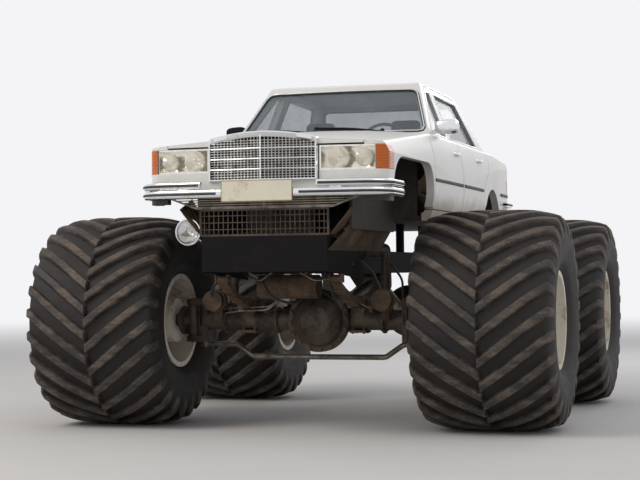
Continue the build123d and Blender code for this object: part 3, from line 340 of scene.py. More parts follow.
def blackened(finish, colour):
    m = maskSizes
    span = finish.node("ShaderNodeMath", {"operation": "ABSOLUTE"}, {0: finish.along("X")})
    # the belt strips' near-black is painted shade; the nose is near-black low down
    belt = within(finish, m["belt"]) * finish.steps(span, *m["beltSpan"])
    return finish.mixed(belt, finish.mixed(within(finish, m["nose"]), colour, m["noseColour"]), m["beltShadeColour"])


def grimy(name, clean, dirt, roughness, scale, amount, metallic=0.0, grain=0.15, reach=None, black=False, **more):
    # a finish with drifting patches of dirt, more of it towards the ground where reach gives two heights
    finish = Finish(name, Metallic=metallic, **more)
    patch = finish.noise(scale) * 0.7 + finish.noise(scale * 5.3, 2.0) * 0.3
    mask = finish.steps(patch, 0.62 - 0.3 * amount, 0.74)
    if reach:
        low = finish.steps(finish.along("Z") + patch * 0.4 - 0.2, reach[1], reach[0])
        mask = finish.steps(mask * 0.5 + low * 0.9, 0.1, 1.1)
    tone = finish.noise(scale * 0.6, 2.0)
    shade = finish.mixed(tone, tuple(c * 0.9 for c in clean), tuple(min(c * 1.06, 1.0) for c in clean))
    colour = finish.mixed(mask, shade, dirt)
    if black:
        colour = blackened(finish, colour)
    finish.set(Base_Color=colour, Roughness=roughness + mask * (0.85 - roughness),
               Normal=finish.bump(finish.noise(scale * 22, 3.0) + patch, grain, 0.002))
    return finish.material


paint = grimy("faded paint", (0.77, 0.76, 0.72), (0.46, 0.40, 0.30), 0.38, 1.7, 0.30, grain=0.02,
              reach=(1.55, 1.85), black=True, Coat_Weight=0.3, Coat_Roughness=0.24)
underPaint = grimy("underbody paint", (0.034, 0.029, 0.025), (0.085, 0.062, 0.042), 0.7, 5.0, 0.6, grain=0.5)
chrome = grimy("bright chrome", (0.78, 0.79, 0.80), (0.38, 0.33, 0.26), 0.10, 9.0, 0.25, metallic=1.0, grain=0.03)
dullChrome = grimy("dull chrome", (0.60, 0.60, 0.58), (0.28, 0.24, 0.18), 0.28, 14.0, 0.6, metallic=0.9, grain=0.1)
grilleDark = grimy("grille slats", (0.13, 0.12, 0.11), (0.22, 0.18, 0.13), 0.45, 20.0, 0.6, metallic=0.4)
blackPaint = grimy("black paint", (0.007, 0.006, 0.007), (0.018, 0.014, 0.011), 0.62, 4.0, 0.25, grain=0.2,
                   Specular_IOR_Level=0.12)
lampChrome = grimy("lamp reflector", (0.93, 0.90, 0.83), (0.80, 0.72, 0.58), 0.14, 5.0, 0.15, metallic=1.0, grain=0.0)
iron = grimy("greasy iron", (0.082, 0.062, 0.044), (0.022, 0.017, 0.014), 0.50, 7.0, 0.9, metallic=0.3, grain=0.9)
rustIron = grimy("rusty iron", (0.125, 0.078, 0.044), (0.040, 0.029, 0.021), 0.64, 9.0, 0.8, metallic=0.25, grain=0.9)
steel = grimy("worn steel", (0.26, 0.23, 0.19), (0.11, 0.08, 0.055), 0.42, 12.0, 0.7, metallic=0.8, grain=0.4)
plateEnamel = grimy("plate enamel", (0.74, 0.70, 0.56), (0.50, 0.42, 0.28), 0.35, 9.0, 0.4, grain=0.03)
vinyl = grimy("door vinyl", (0.150, 0.112, 0.078), (0.085, 0.065, 0.048), 0.50, 6.0, 0.5, grain=0.25)
dustySheet = grimy("dusty sheet", (0.060, 0.041, 0.025), (0.17, 0.11, 0.062), 0.75, 5.0, 0.8, grain=0.5)
brass = grimy("plate rim", (0.36, 0.27, 0.12), (0.24, 0.18, 0.09), 0.4, 9.0, 0.4, metallic=0.5)
rubber = grimy("black rubber", (0.028, 0.028, 0.030), (0.10, 0.09, 0.075), 0.55, 11.0, 0.4, grain=0.2)
cream = grimy("cream rim paint", (0.80, 0.75, 0.64), (0.36, 0.25, 0.15), 0.42, 4.5, 0.45, grain=0.12)
dashPlastic = grimy("grained plastic", (0.040, 0.040, 0.044), (0.09, 0.085, 0.075), 0.62, 30.0, 0.3, grain=0.3)


def glassFinish(name, tint, alpha, roughness, haze, ribs=None):
    # tinted glass that lets most light through, with a thin haze of dust and, on lamps, upright ribs
    finish = Finish(name, Roughness=roughness, IOR=1.45, Coat_Weight=0.6, Coat_Roughness=0.03)
    cloud = finish.noise(3.0) * 0.8 + finish.noise(26.0) * 0.2
    finish.set(Base_Color=finish.mixed(cloud, tuple(c * 0.85 for c in tint), tint),
               Alpha=alpha + finish.steps(cloud, 0.45, 0.8) * haze)
    finish.set(Normal=finish.bump(finish.bands("X", ribs), 0.5, 0.003) if ribs else finish.bump(cloud, 0.02, 0.001))
    return finish.material


windowGlass = glassFinish("window glass", (0.20, 0.25, 0.28), 0.30, 0.04, haze=0.12)
lampGlass = glassFinish("ribbed lamp glass", (0.93, 0.88, 0.74), 0.13, 0.05, haze=0.05, ribs=14.0)


def lensFinish(name, deep, bright, ribs):
    # coloured plastic with level ribs
    finish = Finish(name, Roughness=0.25, Specular_IOR_Level=0.3, Coat_Weight=0.25, Coat_Roughness=0.08)
    wave = finish.bands("Z", ribs)
    finish.set(Base_Color=finish.mixed(wave * 0.6 + finish.noise(30.0) * 0.4, deep, bright),
               Normal=finish.bump(wave, 0.6, 0.003))
    return finish.material


amberLens = lensFinish("amber lens", (0.30, 0.045, 0.001), (0.85, 0.19, 0.004), 30.0)
redLens = lensFinish("red lens", (0.30, 0.01, 0.008), (0.62, 0.03, 0.02), 18.0)


def tyreFinish():
    # dusty rubber with painted light: the grooves are painted darker as shade and the crests lighter as highlight,
    # partly crest wear too; the painted attribute lug is 1 on a bar's crest and 0 in the grooves
    finish = Finish("dusty tyre rubber with painted groove shade")
    lug = finish.node("ShaderNodeAttribute", {"attribute_name": "lug"}, out="Fac")
    patch = finish.noise(3.2) * 0.6 + finish.noise(17.0) * 0.4
    streak = finish.noise(9.0, 3.0, (0.4, 1.0, 2.2))
    speckle = finish.noise(70.0, 4.0)
    dust = finish.steps(patch * 0.5 + streak * 0.4 + speckle * 0.25, 0.50, 0.72)
    # painted shade and wear: the grooves' rubber is painted darker than the crests'
    worn = finish.mixed(lug * lug, (0.0100, 0.0080, 0.0070), (0.032, 0.025, 0.021))
    # painted highlight: the dust is painted lighter on the crests than in the grooves
    dustAndCrestHighlight = finish.mixed(lug, (0.026, 0.021, 0.018), (0.150, 0.118, 0.094))
    finish.set(Base_Color=finish.mixed(dust, worn, dustAndCrestHighlight), Roughness=0.66 + dust * 0.2,
               Normal=finish.bump(speckle * 0.6 + streak, 0.6, 0.005))
    return finish.material


tyreRubber = tyreFinish()


def clothFinish():
    # woven seat cloth: two crossed waves over drifting patches
    finish = Finish("seat cloth", Sheen_Weight=0.4)
    weave, across = finish.bands("X", 55.0), finish.bands("Y", 55.0)
    tone = weave * across * 0.5 + finish.noise(5.0) * 0.5
    finish.set(Base_Color=finish.mixed(tone, (0.085, 0.062, 0.042), (0.22, 0.17, 0.115)), Roughness=0.85,
               Normal=finish.bump(weave * across, 0.35, 0.0015))
    return finish.material


seatCloth = clothFinish()

nodeFinishes = {
    "body_paint": paint, "underbody_paint": underPaint, "window_glass": windowGlass, "bright_chrome": chrome,
    "grille_dark": grilleDark, "lamp_housing": lampChrome, "lamp_glass": lampGlass, "amber_lens": amberLens,
    "red_lens": redLens, "black_rubber": rubber, "black_paint": blackPaint, "worn_iron": iron,
    "bare_steel": steel, "seat_cloth": seatCloth, "dash_plastic": dashPlastic, "tyre_rubber": tyreRubber,
    "rim_paint": cream,
}
# nodes whose finish differs from their slot's
ownFinishes = {
    "lower_grille": steel, "radiator_guard": iron, "leaf_springs": rustIron, "air_brakes": rustIron, "dampers": iron,
}
for entry in frame["record"]["subparts"]:
    held = frame["nodes"][entry["node"]].data.materials
    held.clear()
    held.append(ownFinishes.get(entry["node"], nodeFinishes[entry["material_slot"]]))
print("materials made")

# Tyres: two halves of slanted bars that meet at the crown, each half a pitch from the other
tyreSizes = {
    "bars": 26, "tip": 0.8015, "floor": 0.757, "slant": 0.78, "tread": 0.478, "floorDrop": 0.053, "barDrop": 0.0515,
    "seam": 0.012, "netEdge": 0.0565, "narrowest": 0.0015, "mark": 0.035, "markRows": 20,
}
# a bar's height across its width: distance from its middle, share of the full height
barShape = ((0.0, 0.022, 0.0285, 0.0325, 0.045, 0.052), (1.0, 1.0, 0.97, 0.88, 0.05, 0.0))
# below the tread: across and radius of the carcass, across and radius of a bar's top
shoulderRows = [
    (0.4920, 0.683, 0.4970, 0.724), (0.5030, 0.655, 0.5080, 0.692), (0.5100, 0.628, 0.5140, 0.661),
    (0.5130, 0.612, 0.5155, 0.636), (0.5145, 0.602, 0.5150, 0.606), (0.5160, 0.585, 0.5160, 0.585),
    (0.5165, 0.560, 0.5165, 0.560), (0.5135, 0.520, 0.5135, 0.520), (0.5060, 0.486, 0.5060, 0.486),
    (0.5065, 0.480, 0.5065, 0.480), (0.4960, 0.452, 0.4960, 0.452), (0.4970, 0.446, 0.4970, 0.446),
    (0.4800, 0.412, 0.4800, 0.412), (0.4660, 0.388, 0.4660, 0.388), (0.4520, 0.370, 0.4520, 0.370),
    (0.4425, 0.362, 0.4425, 0.362), (0.4420, 0.342, 0.4420, 0.342), (0.4340, 0.335, 0.4340, 0.335),
    (0.0, 0.335, 0.0, 0.335),
]


def tyreSection():
    # carcass and bar top side by side, row by row from the crown: radius = top - drop * (across / tread)^4
    t = tyreSizes
    places = [0.04, 0.08, 0.13, 0.18, 0.23, 0.28, 0.32, 0.36, 0.395, 0.425, 0.455]
    across = np.array([0.0, t["seam"], *places, t["tread"]])
    share = (across / t["tread"]) ** 4
    crown = np.stack([across, t["floor"] - t["floorDrop"] * share, across, t["tip"] - t["barDrop"] * share], -1)
    return np.concatenate([crown, np.array(shoulderRows)])


def tyreParts(side, y):
    # a net line follows a bar's edge: angle = start + slant * distance from the crown / radius
    t = tyreSizes
    rows = tyreSection()
    pitch = 2 * np.pi * t["tip"] / t["bars"]
    away = np.array([0.0, 0.012, *barShape[0][1:], t["netEdge"]])
    own = np.concatenate([-away[:0:-1], away])
    offsets = np.sort(np.concatenate([own, own + pitch / 2]) % pitch)
    offsets = offsets[np.diff(offsets, append=offsets[0] + pitch) > t["narrowest"]]
    places = (np.arange(t["bars"])[:, None] * pitch + offsets[None, :]).reshape(-1)
    turn = np.minimum(rows[:, 0], t["tread"])
    turn[-1] = t["tread"]
    made = []
    for way, shift in ((1, 0.0), (-1, pitch / 2)):
        gap = np.abs((places - shift + pitch / 2) % pitch - pitch / 2)
        other = np.abs((places - shift) % pitch - pitch / 2)
        level = np.repeat(np.interp(gap, *barShape)[None, :], len(rows), 0)
        level[0] = np.maximum(level[0], np.interp(other, *barShape))
        across = way * (rows[:, :1] + level * (rows[:, 2:3] - rows[:, :1]))
        radius = rows[:, 1:2] + level * (rows[:, 3:4] - rows[:, 1:2])
        angle = places[None, :] / t["tip"] + t["slant"] * turn[:, None] / t["tip"]
        back, up = y + radius * np.sin(angle), axleHeight + radius * np.cos(angle)
        made.append(gridPart(np.stack([side * (wheelCentreX + across), back, up], -1), closeColumns=True))
    return made


for corner, (side, y) in wheelTable.items():
    tyre = addPiece(f"tyre-{corner}", tyreParts(side, y), tyreRubber, f"wheel_{corner}", crease=38.0)
    # the bars' crests are marked by how far they stand out of the carcass, for the painted groove shade and crest
    # highlight in the rubber's colour
    where = np.empty(len(tyre.data.vertices) * 3)
    tyre.data.vertices.foreach_get("co", where)
    where = where.reshape(-1, 3)
    reach = np.hypot(where[:, 1] - y, where[:, 2] - axleHeight)
    section = tyreSection()[:tyreSizes["markRows"]]  # the tread and the shoulder
    carcass = np.interp(np.abs(where[:, 0] - side * wheelCentreX), section[:, 0], section[:, 1])
    mark = tyre.data.attributes.new("lug", "FLOAT", "POINT")
    mark.data.foreach_set("value", np.clip((reach - carcass) / tyreSizes["mark"], 0.0, 1.0))
    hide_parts(f"tyre_{corner}")
print("tyres made")

# Wheel nuts on the rim's face and bolts round the hub's end; far: from the wheel's middle out along the axle
hubTable = {
    "wheel-nuts": {"count": 10, "far": -0.078, "ring": 0.175, "radius": 0.017, "depth": 0.022},
    "hub-bolts": {"count": 12, "far": 0.016, "ring": 0.088, "radius": 0.008, "depth": 0.030},
}
for corner, (side, y) in wheelTable.items():
    axis = (side, 0.0, 0.0)
    for name, h in hubTable.items():
        places = ringOf(h["count"], (side * (wheelCentreX + h["far"]), y, axleHeight), axis, h["ring"])
        addPiece(f"{name}-{corner}", [studs(places, axis, h["radius"], h["depth"])], steel, f"wheel_{corner}",
                 crease=30.0)
print("hubs made")


# The body's side: an arc from sill to belt, slid down towards nose and tail and held back by the bowed plan
sideSizes = {
    "noseEnd": 1.612, "noseSlide": 0.182, "tailStart": 4.085, "tailSlide": 0.052, "tailLength": 0.875,
    "planHalf": 0.882, "planBow": 0.044, "planMiddle": 2.498, "planReach": 2.302,
    "arc": ((0.868, 0.235), (0.925, 0.580), (0.862, 0.905)),
}
cabSizes = {"belt": 0.945, "half": 0.794, "lean": 0.3844}


def centreOf(p, q, r):
    # centre and radius of the circle through three points
    d = 2 * (p[0] * (q[1] - r[1]) + q[0] * (r[1] - p[1]) + r[0] * (p[1] - q[1]))
    squares = [a * a + b * b for a, b in (p, q, r)]
    u = (squares[0] * (q[1] - r[1]) + squares[1] * (r[1] - p[1]) + squares[2] * (p[1] - q[1])) / d
    v = (squares[0] * (r[0] - q[0]) + squares[1] * (p[0] - r[0]) + squares[2] * (q[0] - p[0])) / d
    return u, v, math.hypot(p[0] - u, p[1] - v)


arcX, arcZ, arcRadius = centreOf(*sideSizes["arc"])


def sideX(y, z):
    # x of the body's left side at y back from the nose and the body's height z
    s = sideSizes
    y, z = np.broadcast_arrays(np.asarray(y, float), np.asarray(z, float))
    nose = s["noseSlide"] * np.maximum(1 - y / s["noseEnd"], 0.0)
    tail = s["tailSlide"] * np.maximum((y - s["tailStart"]) / s["tailLength"], 0.0)
    section = arcX + np.sqrt(arcRadius**2 - (z + nose + tail - arcZ) ** 2)
    plan = s["planHalf"] + s["planBow"] * (1 - ((y - s["planMiddle"]) / s["planReach"]) ** 2)
    return np.minimum(section, plan)


def cabX(z):
    # x of the cab's left side, which leans in from the belt
    return cabSizes["half"] - cabSizes["lean"] * (np.asarray(z, float) - cabSizes["belt"])


def bodyPoints(x, y, z):
    # y counts back from the nose and z up from the road that the body once stood on
    x, y, z = np.broadcast_arrays(np.asarray(x, float), np.asarray(y, float), np.asarray(z, float))
    return np.stack([x, y - halfLength, z + bodyLift], -1)


# Rub strips along the doors and the tail, each from and to a place back from the nose
stripSizes = {
    "height": 0.545, "stand": 0.0005, "front": (1.545, 2.518), "rear": (2.592, 3.400), "tail": (4.31, 4.70),
    "outline": [(-0.007, -0.013), (0.004, -0.013), (0.007, -0.008), (0.007, 0.008), (0.004, 0.013), (-0.007, 0.013)],
}


def rubStrip(place):
    s = stripSizes
    y = np.linspace(*s[place], 24)
    return sweep(bodyPoints(sideX(y, s["height"]) + s["stand"], y, s["height"]), s["outline"])


for end in ("front", "rear"):
    addToDoors("rub-strip", end, [rubStrip(end)], rubber)
addPiece("rub-strips-tail", onBothSides([rubStrip("tail")]), rubber, "chassis")

# Window trims round the door glass, on the cab's sloping side; corners: back from the nose, height
windowSizes = {
    "radius": 0.0065, "inset": 0.002, "bend": 0.022,
    "front": [(1.971, 0.938), (2.482, 0.938), (2.482, 1.316), (2.323, 1.308)],
    "rear": [(2.620, 0.938), (3.710, 0.938), (3.440, 1.304), (2.620, 1.316)],
}


def loopThrough(corners, bend, steps):
    # a closed loop of flat points whose corners are rounded
    loop = np.array(corners + corners[:2])
    return rounded(np.stack([loop[:, 0], loop[:, 1], 0 * loop[:, 0]], -1), bend, steps)[1:-1]


for end in ("front", "rear"):
    w = windowSizes
    bent = loopThrough(w[end], w["bend"], 5)
    y, z = bent[:, 0], bent[:, 1]
    points = bodyPoints(cabX(z) - w["inset"], y, z)
    trim = sweep(points, circle(w["radius"], 8), up=(1.0, 0.0, 0.38), closed=True)
    addToDoors("window-trim", end, [trim], chrome)

# Screens at the front and the back: foot at the belt and back from the nose, facing -1 forwards; corners: x, height
screenTable = {
    "front": {"foot": 1.863, "slope": 0.9506, "bow": 0.088, "facing": -1,
              "corners": [(-0.765, 0.950), (0.765, 0.950), (0.625, 1.312), (-0.625, 1.312)]},
    "rear": {"foot": 3.985, "slope": -1.1818, "bow": 0.070, "facing": 1,
             "corners": [(-0.690, 0.985), (0.690, 0.985), (0.585, 1.300), (-0.585, 1.300)]},
}
sealSizes = {"bend": 0.05, "points": 120, "seal": 0.012, "trim": 0.0055, "trimStand": 0.006}


def screenY(x, z, place):
    # foot + slope * height above the belt, bowed out by bow * (1 - (x / half)^2)
    s = screenTable[place]
    bowed = s["facing"] * s["bow"] * (1 - (x / cabSizes["half"]) ** 2)
    return s["foot"] + s["slope"] * (z - cabSizes["belt"]) + bowed


def screenLoop(place):
    # evenly spaced points of the outline on the slanted, bowed screen
    bent = loopThrough(screenTable[place]["corners"], sealSizes["bend"], 6)
    again = np.concatenate([bent, bent[:1]])
    lengths = np.concatenate([[0.0], np.cumsum(np.linalg.norm(np.diff(again, axis=0), axis=1))])
    at = np.linspace(0.0, lengths[-1], sealSizes["points"], endpoint=False)
    x, z = np.interp(at, lengths, again[:, 0]), np.interp(at, lengths, again[:, 1])
    return bodyPoints(x, screenY(x, z, place), z)


def screenRound(points, radius):
    return sweep(points, circle(radius, 8), up=(0.0, -1.0, 1.0), closed=True)


seals, brights = [], []
for place, screen in screenTable.items():
    loop = screenLoop(place)
    seals.append(screenRound(loop, sealSizes["seal"]))
    stand = sealSizes["trimStand"] * np.array([0.0, screen["facing"], 1.0])
    brights.append(screenRound(loop + stand, sealSizes["trim"]))
addPiece("screen-seals", seals, rubber, "chassis")
addPiece("screen-trims", brights, chrome, "chassis")
print("trims made")

# Door handles: a bowed bar on two feet with the lock's button behind it
handleSizes = {
    "front": 2.400, "rear": 3.310, "length": 0.19, "height": 0.800, "stand": 0.030, "sink": 0.004, "rise": 0.004,
    "outline": [(-0.006, -0.010), (0.005, -0.012), (0.008, 0.0), (0.005, 0.012), (-0.006, 0.010)],
    "lockBack": 0.125, "lockHeight": 0.795, "lockFoot": 0.790, "lockSink": 0.001,
    "lock": [(0.0, 0.0), (0.011, 0.0), (0.011, 0.004), (0.004, 0.006), (0.0, 0.006)],
}
for end in ("front", "rear"):
    # the bar stands out by stand * (1 - |t|^5) between its ends at t = -1 and 1
    h = handleSizes
    t = np.linspace(-1.0, 1.0, 17)
    y = h[end] + 0.5 * h["length"] * t
    out = sideX(y, h["height"]) + h["stand"] * (1 - np.abs(t) ** 5) - h["sink"]
    bar = sweep(bodyPoints(out, y, h["height"] + h["rise"] * t), h["outline"])
    lockY = h[end] + h["lockBack"]
    lockPlace = bodyPoints(sideX(lockY, h["lockFoot"]) - h["lockSink"], lockY, h["lockHeight"])
    lock = lathe(h["lock"], lockPlace, (1, 0, 0), 20, closed=False)
    addToDoors("handle", end, [bar, lock], chrome)

# Door cards: a pressed panel on each leaf's inner face with an armrest, from and to a place back from the nose
cardSizes = {
    "front": (1.640, 2.430), "rear": (2.670, 3.290), "low": 0.375, "high": 0.745, "leaf": 0.0615, "thick": 0.010,
    "press": 0.004, "rest": 0.600, "restIn": 0.020, "restFront": 0.14, "restBack": 0.22,
    "restOutline": [(-0.030, -0.014), (0.014, -0.022), (0.014, 0.016), (-0.022, 0.019), (-0.034, 0.010)],
}
# the pull is a bowed tube near the card's back end, the window crank a knob with an arm at a share of its length
pullSizes = {
    "back": 0.150, "half": 0.045, "height": 0.690, "foot": 0.008, "bow": 0.016, "radius": 0.006,
    "crankShare": 0.62, "crankHeight": 0.500, "hub": [(0.0, 0.0), (0.024, 0.0), (0.020, 0.012), (0.0, 0.014)],
    "arm": [(-0.010, 0.0, 0.0), (-0.018, 0.050, 0.045), (-0.018, 0.075, 0.068)],
    "armOutline": [(-0.009, -0.004), (0.009, -0.004), (0.009, 0.004), (-0.009, 0.004)],
}


def doorCard(first, last):
    # the sheet thins out towards its edges, and grooves in its lower half follow a clipped cosine
    c = cardSizes
    u, v = np.meshgrid(np.linspace(0.0, 1.0, 40), np.linspace(0.0, 1.0, 22), indexing="ij")
    y, z = first + (last - first) * u, c["low"] + (c["high"] - c["low"]) * v
    edge = np.clip(np.minimum(np.minimum(u, 1 - u) * 20.0, np.minimum(v, 1 - v) * 14.0), 0.0, 1.0)
    lower = (u > 0.06) * (u < 0.94) * (v < 0.5)
    grooves = c["press"] * np.clip(4.0 * np.cos(v * 10 * np.pi) - 2.6, 0.0, 1.0) * lower
    outer = sideX(y, z) - c["leaf"]
    inner = outer - c["thick"] * (0.35 + 0.65 * np.sqrt(edge)) + grooves
    sheet = slabPart(bodyPoints(outer, y, z), bodyPoints(inner, y, z))
    y = np.linspace(first + c["restFront"], last - c["restBack"], 24)
    out = sideX(y, c["rest"]) - c["leaf"] - c["restIn"]
    return [sheet, sweep(bodyPoints(out, y, c["rest"]), c["restOutline"])]


def doorPull(first, last):
    # the tube stands in by bow * (1 - |t|^4) between its ends at t = -1 and 1
    p, leaf = pullSizes, cardSizes["leaf"]
    t = np.linspace(-1.0, 1.0, 13)
    y = last - p["back"] + p["half"] * t
    out = sideX(y, p["height"]) - leaf - p["foot"] - p["bow"] * (1 - np.abs(t) ** 4)
    pull = sweep(bodyPoints(out, y, p["height"]), circle(p["radius"], 10))
    y = first + p["crankShare"] * (last - first)
    knob = bodyPoints(sideX(y, p["crankHeight"]) - leaf - p["foot"], y, p["crankHeight"])
    hub = lathe(p["hub"], knob, (-1, 0, 0), 24, closed=False)
    arm = sweep(knob + np.array(p["arm"]), p["armOutline"], up=(-1.0, 0.0, 0.0))
    return [pull, hub, arm]


for end in ("front", "rear"):
    addToDoors("door-card", end, doorCard(*cardSizes[end]), vinyl, crease=50.0)
    addToDoors("door-pull", end, doorPull(*cardSizes[end]), dullChrome, crease=50.0)
print("door cards made")

# Wipers: a shaft at the screen's foot with arm and blade, each from a place on x and over a reach
wiperSizes = {
    "places": [(0.44, -0.44), (-0.12, -0.44)], "armFoot": 0.952, "armRise": 0.040, "armStand": 0.020, "arm": 0.006,
    "bladeFoot": 0.960, "bladeRise": 0.034, "bladeStand": 0.010, "bladeStart": 0.35, "bladeLength": 0.95,
    "blade": [(-0.004, -0.010), (0.004, -0.010), (0.003, 0.012), (-0.003, 0.012)],
    "shaft": [(0.0, 0.0), (0.016, 0.0), (0.016, 0.018), (0.010, 0.026), (0.0, 0.026)], "shaftPlace": (1.775, 0.948),
}
wiperParts = []
for pivot, reach in wiperSizes["places"]:
    w = wiperSizes
    t = np.linspace(0.0, 1.0, 20)
    x, z = pivot + reach * t, w["armFoot"] + w["armRise"] * np.sin(t * 1.5)
    wiperParts.append(sweep(bodyPoints(x, screenY(x, z, "front") - w["armStand"], z), circle(w["arm"], 8)))
    x, z = pivot + reach * (w["bladeStart"] + w["bladeLength"] * t), w["bladeFoot"] + w["bladeRise"] * t
    wiperParts.append(sweep(bodyPoints(x, screenY(x, z, "front") - w["bladeStand"], z), w["blade"]))
    shaftPlace = bodyPoints(pivot, *w["shaftPlace"])
    wiperParts.append(lathe(w["shaft"], shaftPlace, (0, -0.3, 1), 20, closed=False))
addPiece("wipers", wiperParts, blackPaint, "chassis")
print("handles and wipers made")

# Grille: a chromed shell, V shaped in plan under a low arch, with three bars over a net of square meshes
grilleSizes = {
    "half": 0.402, "low": 0.492, "top": 0.838, "fall": 0.048, "corner": 0.030, "apex": 0.092, "vee": 0.036,
    "deep": 0.058, "side": 0.019, "cap": 0.042, "foot": 0.014, "innerCorner": 0.012, "bar": 0.0062, "barBack": 0.012,
    "barDrop": 0.006, "middle": (0.011, 0.020), "middleBack": 0.009, "columns": 15, "rows": 4, "wire": 0.0017,
    "netDeep": 0.012, "netBack": 0.018, "tuck": 0.004, "sheetBack": (0.040, 0.043), "sheetOver": 0.008,
    "sheetUnder": 0.006, "sheetAbove": 0.010,
}


def grilleY(x):
    # the V shaped plan: apex + vee * |x| / half
    return grilleSizes["apex"] + grilleSizes["vee"] * np.abs(x) / grilleSizes["half"]


def grilleTop(x, top):
    # the low arch: top - fall * (x / half)^2
    return top - grilleSizes["fall"] * (x / grilleSizes["half"]) ** 2


def grilleLoop(side, cap, foot, corner, back):
    # foot, side, round corner, arch and down again; each edge is drawn in by its own width
    half, low = grilleSizes["half"] - side, grilleSizes["low"] + foot
    top = grilleSizes["top"] - cap
    turn = np.linspace(0.0, np.pi / 2, 9)
    shoulder = grilleTop(half - corner, top) - corner
    flank = np.stack([np.full(8, half), np.linspace(low, shoulder, 9)[:-1]], -1)
    bend = np.stack([half - corner + corner * np.cos(turn), shoulder + corner * np.sin(turn)], -1)
    arch = np.linspace(half - corner, 0.0, 25)[1:]
    right = np.concatenate([
        np.stack([np.linspace(0.0, half, 15)[:-1], np.full(14, low)], -1), flank, bend,
        np.stack([arch, grilleTop(arch, top)], -1),
    ])
    left = right[-2:0:-1] * np.array([-1.0, 1.0])
    loop = np.concatenate([right, left])
    return bodyPoints(loop[:, 0], grilleY(loop[:, 0]) + back, loop[:, 1])


def grilleLine(reach, z, steps):
    # level points across the grille, on its plan
    x = np.linspace(-reach, reach, steps)
    return bodyPoints(x, grilleY(x) + grilleSizes["barBack"], z)


g = grilleSizes
inner, innerLow, innerTop = g["half"] - g["side"], g["low"] + g["foot"], g["top"] - g["cap"]
clear = innerTop - innerLow
# the shell's loops: drawn in at the sides, the cap and the foot; corner radius; place behind the plan
shellTable = [
    (0.0, 0.0, 0.0, g["corner"], g["deep"]),
    (0.0, 0.0, 0.0, g["corner"], 0.006),
    (0.004, 0.005, 0.003, g["corner"] - 0.004, 0.0),
    (g["side"] - 0.004, g["cap"] - 0.012, g["foot"] - 0.003, g["innerCorner"] + 0.004, 0.001),
    (g["side"], g["cap"], g["foot"], g["innerCorner"], 0.010),
    (g["side"], g["cap"], g["foot"], g["innerCorner"], g["deep"]),
]
shellPart = gridPart(np.stack([grilleLoop(*row) for row in shellTable]), closeRows=True, closeColumns=True)
barOval = np.array([(-0.004, -1.0), (0.003, -1.0), (0.006, -0.6), (0.0075, 0.0), (0.006, 0.6), (0.003, 1.0),
                    (-0.004, 1.0)]) * np.array([1.0, g["bar"]])
chromeBars = [sweep(grilleLine(inner + g["tuck"], innerLow + clear * step / 4 - g["barDrop"], 41), barOval)
              for step in (1, 2, 3)]
middleBar = boxes(bodyPoints([0.0], g["apex"] + g["middleBack"], 0.5 * (innerLow + innerTop)),
                  (*g["middle"], clear + 0.01))
shell = addPiece("grille-shell", [shellPart, middleBar] + chromeBars, chrome, "hood", crease=35.0)
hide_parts("grille_shell")

netX = np.linspace(0.0, inner, g["columns"] + 1)[1:-1]
netX = np.concatenate([-netX[::-1], netX])
tops = grilleTop(netX, innerTop) + 0.003
uprights = boxes(bodyPoints(netX, grilleY(netX) + g["netBack"], 0.5 * (tops + innerLow)),
                 np.stack([0 * tops + 2 * g["wire"], 0 * tops + g["netDeep"], tops - innerLow], -1))
steps = np.arange(1, 4 * g["rows"])
netZ = innerLow - g["barDrop"] + clear * steps[steps % g["rows"] != 0] / (4 * g["rows"])
rungs = []
for z in netZ[netZ < innerTop - g["tuck"]]:
    reach = inner * min(1.0, math.sqrt((innerTop + g["tuck"] - z) / g["fall"]))
    rungs.append(sweep(grilleLine(reach, z, 31), circle(1.5 * g["wire"], 6)))
net = addPiece("grille-net", [uprights] + rungs, dullChrome, "hood", crease=50.0)
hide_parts("grille_insert")
# painted shade behind the grille: a black sheet that stands in for the dark space behind and follows the shell's plan
x = np.broadcast_to(np.linspace(-inner - g["sheetOver"], inner + g["sheetOver"], 41), (9, 41))
sheetLow = innerLow - g["sheetUnder"]
z = sheetLow + np.linspace(0.0, 1.0, 9)[:, None] * (grilleTop(x, innerTop + g["sheetAbove"]) - sheetLow)
behind = slabPart(*[bodyPoints(x, grilleY(x) + back, z) for back in g["sheetBack"]])
addPiece("grille-back", [behind], blackPaint, "hood")
print("grille made")

# Door mirrors: a rounded head on a foot at the window's front corner
mirrorSizes = {
    "power": 0.62, "taper": 0.10, "foot": (2.010, 0.950), "footIn": 0.012, "stalkIn": 0.72, "stalkDrop": 0.030,
    "stalk": [(-0.018, -0.012), (0.018, -0.012), (0.018, 0.012), (-0.018, 0.012)],
    "paneWidth": 0.90, "paneHeight": 0.86, "paneDeep": 0.004, "paneSink": 0.002,
}
# side: half length, half height, depth ahead, depth behind; place of the head's middle; finish
mirrorTable = {
    "left": ((0.098, 0.060, 0.046, 0.016), (0.903, 2.030, 0.992), chrome),
    "right": ((0.085, 0.048, 0.040, 0.014), (-0.872, 2.030, 1.000), blackPaint),
}


def mirrorBall(sizes, centre):
    # a squared off ball, deeper ahead than behind, whose height grows along x
    power = mirrorSizes["power"]
    u, v = ballAngles(25, 40)
    around = squared(np.cos(u), power)
    x = sizes[0] * around * squared(np.cos(v), power)
    y = around * squared(np.sin(v), power)
    y = np.where(y < 0, y * sizes[2], y * sizes[3])
    z = sizes[1] * squared(np.sin(u), power) * (1.0 + mirrorSizes["taper"] * x / sizes[0])
    return gridPart(centre + np.stack([x, y, z], -1), closeColumns=True)


